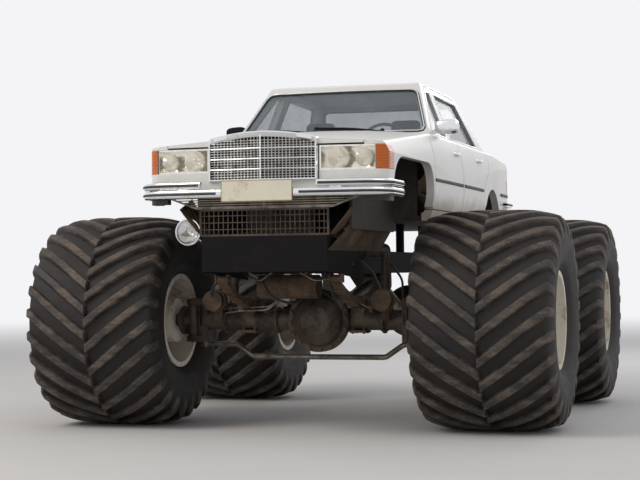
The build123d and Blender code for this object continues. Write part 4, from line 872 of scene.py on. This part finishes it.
for side, (sizes, place, look) in mirrorTable.items():
    m = mirrorSizes
    centre, way = bodyPoints(*place), np.sign(place[0])
    foot = bodyPoints(way * (cabX(m["foot"][1]) - m["footIn"]), *m["foot"])
    under = centre - np.array([way * sizes[0] * m["stalkIn"], 0.0, m["stalkDrop"]])
    stalk = sweep(np.stack([foot, under, centre]), m["stalk"], up=(0.0, 1.0, 0.2))
    paneSizes = (sizes[0] * m["paneWidth"], sizes[1] * m["paneHeight"], m["paneDeep"], m["paneDeep"])
    pane = mirrorBall(paneSizes, centre + np.array([0.0, sizes[3] - m["paneSink"], 0.0]))
    head = addPiece(f"mirror-{side}", [mirrorBall(sizes, centre), stalk], look, f"door_front_{side}",
                    crease=45.0)
    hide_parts(f"mirror_{side}")
    addPiece(f"mirror-pane-{side}", [pane], lampChrome, f"door_front_{side}")
print("mirrors made")

# Headlamps: two reflectors and bulbs in each housing, behind the ribbed lens; lamps: x, height, radius
headlampSizes = {
    "lamps": [(0.535, 0.644, 0.078), (0.720, 0.640, 0.062)], "deep": 0.075, "hole": 0.004, "wall": (0.002, -0.004),
    "back": 0.290, "bulbBack": 0.286, "bulb": [(0.0, 0.0), (0.011, 0.0), (0.012, 0.03), (0.008, 0.045), (0.0, 0.05)],
}
dishes, bulbs = [], []
for x, z, radius in headlampSizes["lamps"]:
    # a bowl: height = deep * (r / radius)^2, with a thin wall
    r = np.linspace(headlampSizes["hole"], radius, 14)
    height = headlampSizes["deep"] * (r / radius) ** 2
    outside = np.stack([r, height], -1) + headlampSizes["wall"]
    outline = np.concatenate([np.stack([r, height], -1), outside[::-1]])
    dishes.append(lathe(outline, bodyPoints(x, headlampSizes["back"], z), (0, -1, 0), 40))
    bulbs.append(lathe(headlampSizes["bulb"], bodyPoints(x, headlampSizes["bulbBack"], z), (0, -1, 0), 20,
                       closed=False))
addPiece("reflectors", onBothSides(dishes), lampChrome, "chassis")
addPiece("bulbs", onBothSides(bulbs), lampGlass, "chassis")

# Bumpers: two rounded bars bent round the corners, rubber strips on them and a blank plate
bumperSizes = {
    "half": 0.920, "corner": 0.200, "bow": 0.058, "front": 0.017, "end": 0.498, "deep": 0.030, "notch": 0.425,
    "lean": 0.010, "proud": 0.010, "rubberStart": 0.304, "strip": 0.0105, "stripProud": 0.0175, "stripInset": 0.012,
    "ironX": 0.560, "ironIn": 0.120, "ironHeight": 0.430, "iron": (0.08, 0.16, 0.05),
}
# low and high edge of each bar, and the half width that is left free in the middle
barTable = [(0.372, 0.430, 0.0), (0.437, 0.486, bumperSizes["notch"])]
# how far each part's middle stands back from the end of the truck, and its size
plateSizes = {
    "height": 1.7305, "sheetIn": 0.0034, "sheet": (0.522, 0.004, 0.148), "braceIn": 0.0105, "braceHeight": 1.7000,
    "brace": (0.440, 0.011, 0.050), "rimIn": 0.0036, "rimX": 0.2585, "rimZ": 0.0715,
    "flat": (0.524, 0.007, 0.006), "upright": (0.006, 0.007, 0.149),
}


def bumperPath(start):
    # from the middle out to the left end: y = front + bow * (x / half)^2, then a round corner and a straight side
    b = bumperSizes
    turn = b["half"] - b["corner"]
    x = np.linspace(start, turn, 30)
    y = b["front"] + b["bow"] * (x / b["half"]) ** 2
    angle = np.linspace(0.0, np.pi / 2, 16)[1:]
    cornerX = turn + b["corner"] * np.sin(angle)
    cornerY = y[-1] + b["corner"] * (1 - np.cos(angle)) + b["lean"] * np.sin(angle)
    sideY = np.linspace(cornerY[-1], b["end"], 12)[1:]
    return np.concatenate([x, cornerX, 0 * sideY + b["half"]]), np.concatenate([y, cornerY, sideY])


def barOutline(height, proud):
    # a bar's section seen along it: a round face in front, a flat back
    t = np.linspace(-1.0, 1.0, 15)
    front = np.stack([proud * np.sqrt(np.clip(1 - np.abs(t) ** 3.2, 0.0, 1.0)), t * height / 2], -1)
    deep = bumperSizes["deep"]
    return np.concatenate([front, [(-deep, height / 2), (-deep, -height / 2)]])


def bumperParts(start, low, high, height, proud, facing):
    # one bar or strip on both sides, joined in the middle where it starts there; the back's is turned half round
    x, y = bumperPath(start)
    if start == 0.0:
        paths = [(np.concatenate([-x[:0:-1], x]), np.concatenate([y[:0:-1], y]))]
    else:
        paths = [(x, y), (-x[::-1], y[::-1])]
    made = [sweep(bodyPoints(*path, (low + high) / 2), barOutline(height, proud)) for path in paths]
    return [(points * np.array([-facing, -facing, 1.0]), faces) for points, faces in made]


for name, facing in (("front", -1), ("rear", 1)):
    b, p = bumperSizes, plateSizes
    chromeParts, rubberParts = [], []
    for low, high, free in barTable:
        chromeParts += bumperParts(free, low, high, high - low, b["proud"], facing)
        start = max(free + b["stripInset"], b["rubberStart"])
        rubberParts += bumperParts(start, low, high, 2 * b["strip"], b["stripProud"], facing)
    irons = boxes([(x, facing * (halfLength - b["ironIn"]), bodyLift + b["ironHeight"])
                   for x in (-b["ironX"], b["ironX"])], b["iron"])
    bars = addPiece(f"bumper-bars-{name}", chromeParts + [irons], chrome, "chassis", crease=50.0)
    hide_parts(f"{name}_bumper")
    strips = addPiece(f"bumper-strips-{name}", rubberParts, rubber, "chassis", crease=50.0)
    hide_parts("bumper_rubbers")
    sheet = boxes([(0.0, facing * (halfLength - p["sheetIn"]), p["height"])], p["sheet"])
    brace = boxes([(0.0, facing * (halfLength - p["braceIn"]), p["braceHeight"])], p["brace"])
    rimY, z = facing * (halfLength - p["rimIn"]), p["height"]
    plateRim = boxes([(0.0, rimY, z + p["rimZ"]), (0.0, rimY, z - p["rimZ"]), (p["rimX"], rimY, z),
                      (-p["rimX"], rimY, z)], [p["flat"], p["flat"], p["upright"], p["upright"]])
    addPiece(f"plate-{name}", [sheet, brace], plateEnamel, "chassis", soften=0.0008, crease=30.0)
    addPiece(f"plate-frame-{name}", [plateRim], brass, "chassis", soften=0.001, crease=30.0)

# Spot lamp: dish, domed glass and rim in the bowl on the truck's right
spotSizes = {
    "place": (-0.600, -2.240, 1.457), "radius": 0.084, "deep": 0.070, "hole": 0.006, "dishLip": 0.012,
    "dishWall": 0.007, "dishNarrow": 0.98, "dishBack": 0.020, "dome": 0.016, "domeFoot": 0.004, "wall": 0.004,
    "glassBack": 0.014, "rimBack": 0.006,
    "rim": [(0.084, 0.0), (0.096, 0.0), (0.0985, 0.006), (0.096, 0.013), (0.088, 0.014), (0.084, 0.010)],
}


def spotLathe(outline, back, segments=48, closed=True):
    x, y, z = spotSizes["place"]
    return lathe(outline, (x, y + back, z), (0, -1, 0), segments, closed)


# the dish is a bowl, lip - deep * (1 - (r / radius)^2), and the glass bows out by dome * (1 - (r / radius)^2)
s = spotSizes
r = np.linspace(s["hole"], s["radius"], 14)
bowl = 1 - (r / s["radius"]) ** 2
dish = np.stack([r, s["dishLip"] - s["deep"] * bowl], -1)
dishOutside = np.stack([r * s["dishNarrow"], s["dishLip"] - s["dishWall"] - s["deep"] * bowl], -1)[::-1]
addPiece("spot-dish", [spotLathe(np.concatenate([dish, dishOutside]), s["dishBack"])], chrome, "chassis")
dome = s["domeFoot"] + s["dome"] * bowl
domeTop = s["domeFoot"] + s["dome"]
glassOutline = np.concatenate([[(0.0, domeTop)], np.stack([r, dome], -1), np.stack([r, dome - s["wall"]], -1)[::-1],
                               [(0.0, domeTop - s["wall"])]])
addPiece("spot-glass", [spotLathe(glassOutline, s["glassBack"], closed=False)], lampGlass, "chassis")
addPiece("spot-rim", [spotLathe(s["rim"], s["rimBack"], 56)], chrome, "chassis")
print("lamps made")

# Axle details: bolts round the covers, flanges with bolts on both faces, and the springs' clamps
coverSizes = {"x": 0.140, "reach": 0.126, "count": 16, "ring": 0.216, "start": 0.1, "radius": 0.013, "depth": 0.018}
flangeSizes = {
    "places": (-0.62, -0.21, 0.62), "radius": 0.100, "half": 0.010, "edge": (0.003, 0.006), "ring": 0.088,
    "bolt": 0.007, "depth": 0.009,
}
clampSizes = {
    "x": 0.430, "side": 0.043, "along": 0.052, "low": 0.70, "high": 0.985, "rod": 0.009, "nutHeight": 0.722,
    "nut": 0.015, "nutDepth": 0.016, "plateHeight": 0.718, "plate": (0.125, 0.150, 0.020),
}
c, f, k = coverSizes, flangeSizes, clampSizes
lip, rimHalf = f["radius"] - f["edge"][0], f["edge"][1]
flangeOutline = [(0.0, -f["half"]), (lip, -f["half"]), (f["radius"], -rimHalf), (f["radius"], rimHalf),
                 (lip, f["half"]), (0.0, f["half"])]
coverBolts, flangeParts, flangeBolts, clampParts = [], [], [], []
for y, facing in ((frontAxleY, -1), (rearAxleY, 1)):
    axis = (0, facing, 0)
    places = ringOf(c["count"], (c["x"], y + facing * c["reach"], axleHeight), axis, c["ring"], c["start"])
    coverBolts.append(studs(places, axis, c["radius"], c["depth"]))
    for x in f["places"]:
        flangeParts.append(lathe(flangeOutline, (x, y, axleHeight), (1, 0, 0), 40, closed=False))
        for way in (-1, 1):
            places = ringOf(12, (x + way * f["half"], y, axleHeight), (1, 0, 0), f["ring"])
            flangeBolts.append(studs(places, (way, 0, 0), f["bolt"], f["depth"]))
    for x in (k["x"] - k["side"], k["x"] + k["side"]):
        for rodY in (y - k["along"], y + k["along"]):
            rod = [(x, rodY, k["low"]), (x, rodY, k["high"])]
            clampParts.append(sweep(rod, circle(k["rod"], 8), up=(0.0, 1.0, 0.0)))
            clampParts.append(studs([(x, rodY, k["nutHeight"])], (0, 0, -1), k["nut"], k["nutDepth"]))
    clampParts.append(boxes([(k["x"], y, k["plateHeight"])], k["plate"]))
addPiece("cover-bolts", coverBolts, rustIron, "chassis", crease=30.0)
addPiece("axle-flanges", flangeParts, iron, "chassis", crease=35.0)
addPiece("flange-bolts", flangeBolts, rustIron, "chassis", crease=30.0)
addPiece("spring-clamps", onBothSides(clampParts), rustIron, "chassis", crease=30.0)
print("axle details made")

# Splash panels: sheets that close the sides of the engine bay, from the rails up to the inner fenders
# corners round each sheet: x, y back from the nose, height above the ground
panelSizes = {
    "side": [(0.462, 0.175, 1.315), (0.462, 1.560, 1.315), (0.575, 1.560, 1.500), (0.575, 0.375, 1.500)],
    "nose": [(0.480, 0.176, 1.425), (0.490, 0.420, 1.430), (0.640, 0.420, 1.700), (0.640, 0.176, 1.615)],
    "thick": 0.003, "press": 0.004, "waves": 4,
}


def spot(x, y, z):
    # y counts back from the nose, z up from the ground
    return (x, y - halfLength, z)


def panelPart(corners):
    # a sheet whose points are the mix of its four corners in both ways, with ribs that follow a clipped sine
    a, b, c, d = [np.array(spot(*corner)) for corner in corners]
    u, v = np.meshgrid(np.linspace(0.0, 1.0, 72), np.linspace(0.0, 1.0, 12), indexing="ij")
    wide, tall = u[..., None], v[..., None]
    points = (1 - tall) * ((1 - wide) * a + wide * b) + tall * ((1 - wide) * d + wide * c)
    normal = unit(np.cross(b - a, d - a))
    rib = np.clip(np.sin(u * 2 * panelSizes["waves"] * np.pi) * 4, -1.0, 1.0) * (v > 0.15) * (v < 0.85)
    outer = points + (panelSizes["press"] * rib)[..., None] * normal
    return slabPart(outer, outer - panelSizes["thick"] * normal)


panels = [panelPart(panelSizes["side"]), panelPart(panelSizes["nose"])]
addPiece("splash-panels", onBothSides(panels), dustySheet, "chassis", crease=30.0)


# kind of tube: radius of its bends, points in a bend, sides, the direction that its outline keeps up
tubeTable = {
    "hose": (0.05, 7, 10, (0.3, 1.0, 0.2)), "pipe": (0.035, 6, 8, (0.2, 0.3, 1.0)),
    "exhaust": (0.12, 8, 14, (1.0, 0.0, 0.2)),
}


def tube(kind, points, radius):
    bend, steps, count, up = tubeTable[kind]
    return sweep(rounded([spot(*point) for point in points], bend, steps), circle(radius, count), up=up)


# Hoses between the frame and the axles: points of each, its radius
hoseTable = [
    ([(0.47, 1.00, 1.24), (0.56, 0.99, 1.16), (0.64, 0.93, 1.02), (0.655, 0.875, 0.965)], 0.011),
    ([(0.47, 1.30, 1.26), (0.60, 1.34, 1.24), (0.72, 1.26, 1.10), (0.745, 1.15, 0.93)], 0.009),
    ([(0.30, 0.62, 1.14), (0.34, 0.70, 1.02), (0.30, 0.86, 0.95), (0.20, 0.96, 1.03)], 0.010),
    ([(-0.47, 0.86, 1.22), (-0.58, 0.80, 1.12), (-0.66, 0.84, 1.02), (-0.655, 0.875, 0.965)], 0.011),
    ([(-0.47, 1.24, 1.28), (-0.62, 1.30, 1.20), (-0.72, 1.24, 1.04), (-0.745, 1.15, 0.90)], 0.009),
    ([(-0.20, 0.66, 1.12), (-0.10, 0.60, 0.98), (0.02, 0.72, 0.93), (0.05, 0.90, 0.98)], 0.010),
    ([(0.655, 3.98, 0.96), (0.62, 4.06, 1.10), (0.52, 4.02, 1.20), (0.46, 3.96, 1.24)], 0.011),
    ([(-0.655, 3.98, 0.96), (-0.62, 4.06, 1.10), (-0.52, 4.02, 1.20), (-0.46, 3.96, 1.24)], 0.011),
]
hoses = [tube("hose", points, radius) for points, radius in hoseTable]
addPiece("hoses", hoses, rubber, "chassis", crease=60.0)

# Pipes along the front axle, in clips, and the air lines from the tank: points of each, its radius
pipeTable = [
    ([(-0.66, 1.02, 0.885), (-0.48, 1.00, 0.90), (-0.24, 1.00, 0.905), (-0.12, 0.95, 1.02), (0.14, 0.93, 1.055),
      (0.40, 0.97, 0.99), (0.50, 1.00, 0.90), (0.66, 1.02, 0.885)], 0.0055),
    ([(-0.60, 1.00, 0.86), (-0.46, 0.985, 0.875), (-0.26, 0.985, 0.88), (-0.16, 0.985, 0.96), (-0.22, 0.80, 1.10),
      (-0.36, 0.66, 1.20)], 0.0075),
    ([(0.10, 0.62, 1.17), (0.24, 0.58, 1.10), (0.38, 0.66, 1.12), (0.46, 0.80, 1.22)], 0.0065),
    ([(-0.05, 0.62, 1.20), (-0.18, 0.60, 1.10), (-0.32, 0.70, 1.14), (-0.44, 0.84, 1.24)], 0.0065),
]
clipSizes = {"places": (-0.56, -0.38, -0.28, 0.54), "back": 1.010, "height": 0.885, "size": (0.026, 0.030, 0.050)}
pipes = [tube("pipe", points, radius) for points, radius in pipeTable]
clips = boxes([spot(x, clipSizes["back"], clipSizes["height"]) for x in clipSizes["places"]], clipSizes["size"])
addPiece("axle-pipes", pipes, steel, "chassis", crease=50.0)
addPiece("pipe-clips", [clips], rustIron, "chassis", soften=0.002, crease=30.0)

# Exhaust: pipe from the engine back between the rails, a silencer and the tail pipe
exhaustSizes = {
    "radius": 0.027, "silencerPlace": (-0.22, 2.86, 1.300),
    "silencer": [(0.0, 0.0), (0.030, 0.0), (0.105, 0.03), (0.105, 0.62), (0.030, 0.65), (0.0, 0.65)],
    "pipe": [(-0.27, 1.00, 1.46), (-0.30, 1.30, 1.32), (-0.22, 1.60, 1.30), (-0.22, 2.88, 1.30)],
    "tail": [(-0.22, 3.48, 1.30), (-0.22, 4.30, 1.30), (-0.26, 4.66, 1.27)],
}
e = exhaustSizes
exhaustParts = [lathe(e["silencer"], spot(*e["silencerPlace"]), (0, 1, 0), 28, closed=False)]
exhaustParts += [tube("exhaust", e[name], e["radius"]) for name in ("pipe", "tail")]
addPiece("exhaust", exhaustParts, rustIron, "chassis", crease=50.0)
print("panels and pipes made")

# Seats: crowned pads with sewn channels, in the space of their solids
# name: sides, front, back and top in the body's own places, number of channels
seatTable = {
    "front-left": (0.115, 0.640, 2.130, 2.620, 0.930, 7), "front-right": (-0.640, -0.115, 2.130, 2.620, 0.930, 7),
    "rear": (-0.590, 0.590, 3.130, 3.640, 0.900, 16),
}
# reaches from the seat's front, back and the floor that give each pad its place
padSizes = {
    "floor": 0.273, "sidePower": 0.35, "topPower": 0.45, "channelDepth": 0.10, "channelWidth": 0.10, "sideGap": 0.005,
    "cushionCrown": 0.18, "cushionFront": 0.01, "cushionBack": 0.02, "cushionLow": 0.08, "cushionTop": 0.225,
    "backCrown": 0.20, "backFront": 0.035, "backBack": 0.085, "backLow": 0.21, "backLean": 0.27,
    "headLean": 0.10, "headIn": 0.137, "headLow": (2.742, 0.963), "headHigh": (2.815, 1.125),
}


def padPart(low, high, crown, channels, lean=0.0, upright=False):
    # a ball squared off by powers, crowned by 1 + crown * (1 - x^2) * (1 - y^2), with grooves across its width
    p = padSizes
    u, v = ballAngles(44, 60)
    x = squared(np.cos(u), p["sidePower"]) * squared(np.cos(v), p["sidePower"])
    y = squared(np.cos(u), p["sidePower"]) * squared(np.sin(v), p["sidePower"])
    z = squared(np.sin(u), p["topPower"]) * (1 + crown * (1 - x**2) * (1 - y**2)) / (1 + crown)
    across = ((x + 1) * channels / 2) % 1 - 0.5  # place across one channel
    z = z * (1 - p["channelDepth"] * np.exp(-((across / p["channelWidth"]) ** 2)) * (np.abs(y) < 0.75))
    low, high = bodyPoints(*low), bodyPoints(*high)
    points = (low + high) / 2 + np.stack([x, z, y] if upright else [x, y, z], -1) * (high - low) / 2
    points[..., 1] = points[..., 1] + lean * (points[..., 2] - low[2])
    return gridPart(points, closeColumns=True)


for name, (x0, x1, y0, y1, top, channels) in seatTable.items():
    p, floorZ = padSizes, padSizes["floor"]
    left, right = x0 + p["sideGap"], x1 - p["sideGap"]
    parts = {
        "cushion": padPart((left, y0 + p["cushionFront"], floorZ + p["cushionLow"]),
                           (right, y1 - p["cushionBack"], floorZ + p["cushionTop"]), p["cushionCrown"], channels),
        "back": padPart((left, y1 - p["backFront"], floorZ + p["backLow"]),
                        (right, y1 + p["backBack"], top - p["sideGap"]), p["backCrown"], channels,
                        lean=p["backLean"], upright=True),
    }
    if name != "rear":
        parts["head"] = padPart((x0 + p["headIn"], *p["headLow"]), (x1 - p["headIn"], *p["headHigh"]),
                                p["backCrown"], 1, lean=p["headLean"], upright=True)
    for kind, part in parts.items():
        pad = addPiece(f"seat-{name}-{kind}", [part], seatCloth, "chassis", crease=80.0)
        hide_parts("seats")
print("seats made")

# Studio: pale floor that runs out into the background, soft light and the photo's view
stageSizes = {
    "floor": 60.0, "drop": 0.001, "world": 0.52, "shown": 0.93, "near": 8.0, "far": 30.0, "sky": (0.97, 0.97, 1.0),
    "pale": ((0.66, 0.65, 0.64), (0.72, 0.71, 0.70)), "patches": 1.2,
}
shown, sky = stageSizes["shown"], stageSizes["sky"]
floorMesh = bpy.data.meshes.new("floor")
half = stageSizes["floor"]
floorMesh.from_pydata([(x * half, y * half, -stageSizes["drop"]) for x, y in ((-1, -1), (1, -1), (1, 1), (-1, 1))],
                      [], [(0, 1, 2, 3)])
floor = linked("floor", floorMesh)
floorFinish = Finish("floor", Roughness=1.0, Specular_IOR_Level=0.0, Emission_Strength=1.0)
distance = floorFinish.node("ShaderNodeVectorMath", {"operation": "LENGTH"},
                            {0: floorFinish.node("ShaderNodeTexCoord", out="Object")}, out="Value")
away = floorFinish.steps(distance, stageSizes["near"], stageSizes["far"])
pale = floorFinish.mixed(floorFinish.noise(stageSizes["patches"]), *stageSizes["pale"])
floorFinish.set(Base_Color=floorFinish.mixed(away, pale, (0.0, 0.0, 0.0)),
                Emission_Color=floorFinish.mixed(away, (0.0, 0.0, 0.0), tuple(c * shown for c in sky)))
floorMesh.materials.append(floorFinish.material)

world = bpy.data.worlds.new("studio")
bpy.context.scene.world = world
world.use_nodes = True
tree = world.node_tree
background = tree.nodes["Background"]
rays = tree.nodes.new("ShaderNodeLightPath")
seen = rays.outputs["Is Camera Ray"]
for ray in ("Is Glossy Ray", "Is Transmission Ray"):
    either = tree.nodes.new("ShaderNodeMath")
    either.operation = "MAXIMUM"
    tree.links.new(seen, either.inputs[0])
    tree.links.new(rays.outputs[ray], either.inputs[1])
    seen = either.outputs[0]
level = tree.nodes.new("ShaderNodeMix")
level.data_type = "FLOAT"
level.inputs[2].default_value = stageSizes["world"]
level.inputs[3].default_value = shown
tree.links.new(seen, level.inputs[0])
tree.links.new(level.outputs[0], background.inputs["Strength"])
background.inputs["Color"].default_value = (*sky, 1.0)


def looking(forward, place, roll=0.0):
    # a matrix that looks along forward from the place, level or rolled about its line of sight
    forward = unit(forward)
    side = unit(np.cross(forward, (0.0, 0.0, 1.0)))
    up = np.cross(side, forward)
    side, up = math.cos(roll) * side + math.sin(roll) * up, math.cos(roll) * up - math.sin(roll) * side
    return Matrix([(side[i], up[i], -forward[i], place[i]) for i in range(3)] + [(0, 0, 0, 1)])


# name: place, size, power and colour; each looks at a place above the origin
lightAim = (0.0, 0.0, 1.0)
lightTable = {
    "key": ((-7.0, -9.0, 9.0), 6.0, 640.0, (1.0, 0.95, 0.87)),
    "fill": ((10.0, -5.0, 9.0), 9.0, 150.0, (0.96, 0.97, 1.0)),
    "back": ((2.0, 9.0, 7.0), 6.0, 220.0, (1.0, 1.0, 1.0)),
}
for name, (place, size, power, colour) in lightTable.items():
    lamp = bpy.data.lights.new(name, "AREA")
    lamp.size, lamp.energy, lamp.color = size, power, colour
    linked(name, lamp).matrix_world = looking(np.array(lightAim) - np.array(place), place)

cameraSizes = {
    "place": (3.724, -13.188, 1.164), "yaw": 0.296, "pitch": 0.0194, "roll": -0.0092, "lens": 92.29, "sensor": 36.0,
    "farthest": 200.0,
}
yaw, pitch = cameraSizes["yaw"], cameraSizes["pitch"]
cameraData = bpy.data.cameras.new("camera")
cameraData.lens, cameraData.sensor_width = cameraSizes["lens"], cameraSizes["sensor"]
cameraData.sensor_fit, cameraData.clip_end = "HORIZONTAL", cameraSizes["farthest"]
camera = linked("camera", cameraData)
forward = (-math.sin(yaw) * math.cos(pitch), math.cos(yaw) * math.cos(pitch), math.sin(pitch))
camera.matrix_world = looking(forward, cameraSizes["place"], cameraSizes["roll"])
bpy.context.scene.camera = camera
bpy.context.scene.view_settings.view_transform = "Standard"
print("studio made")
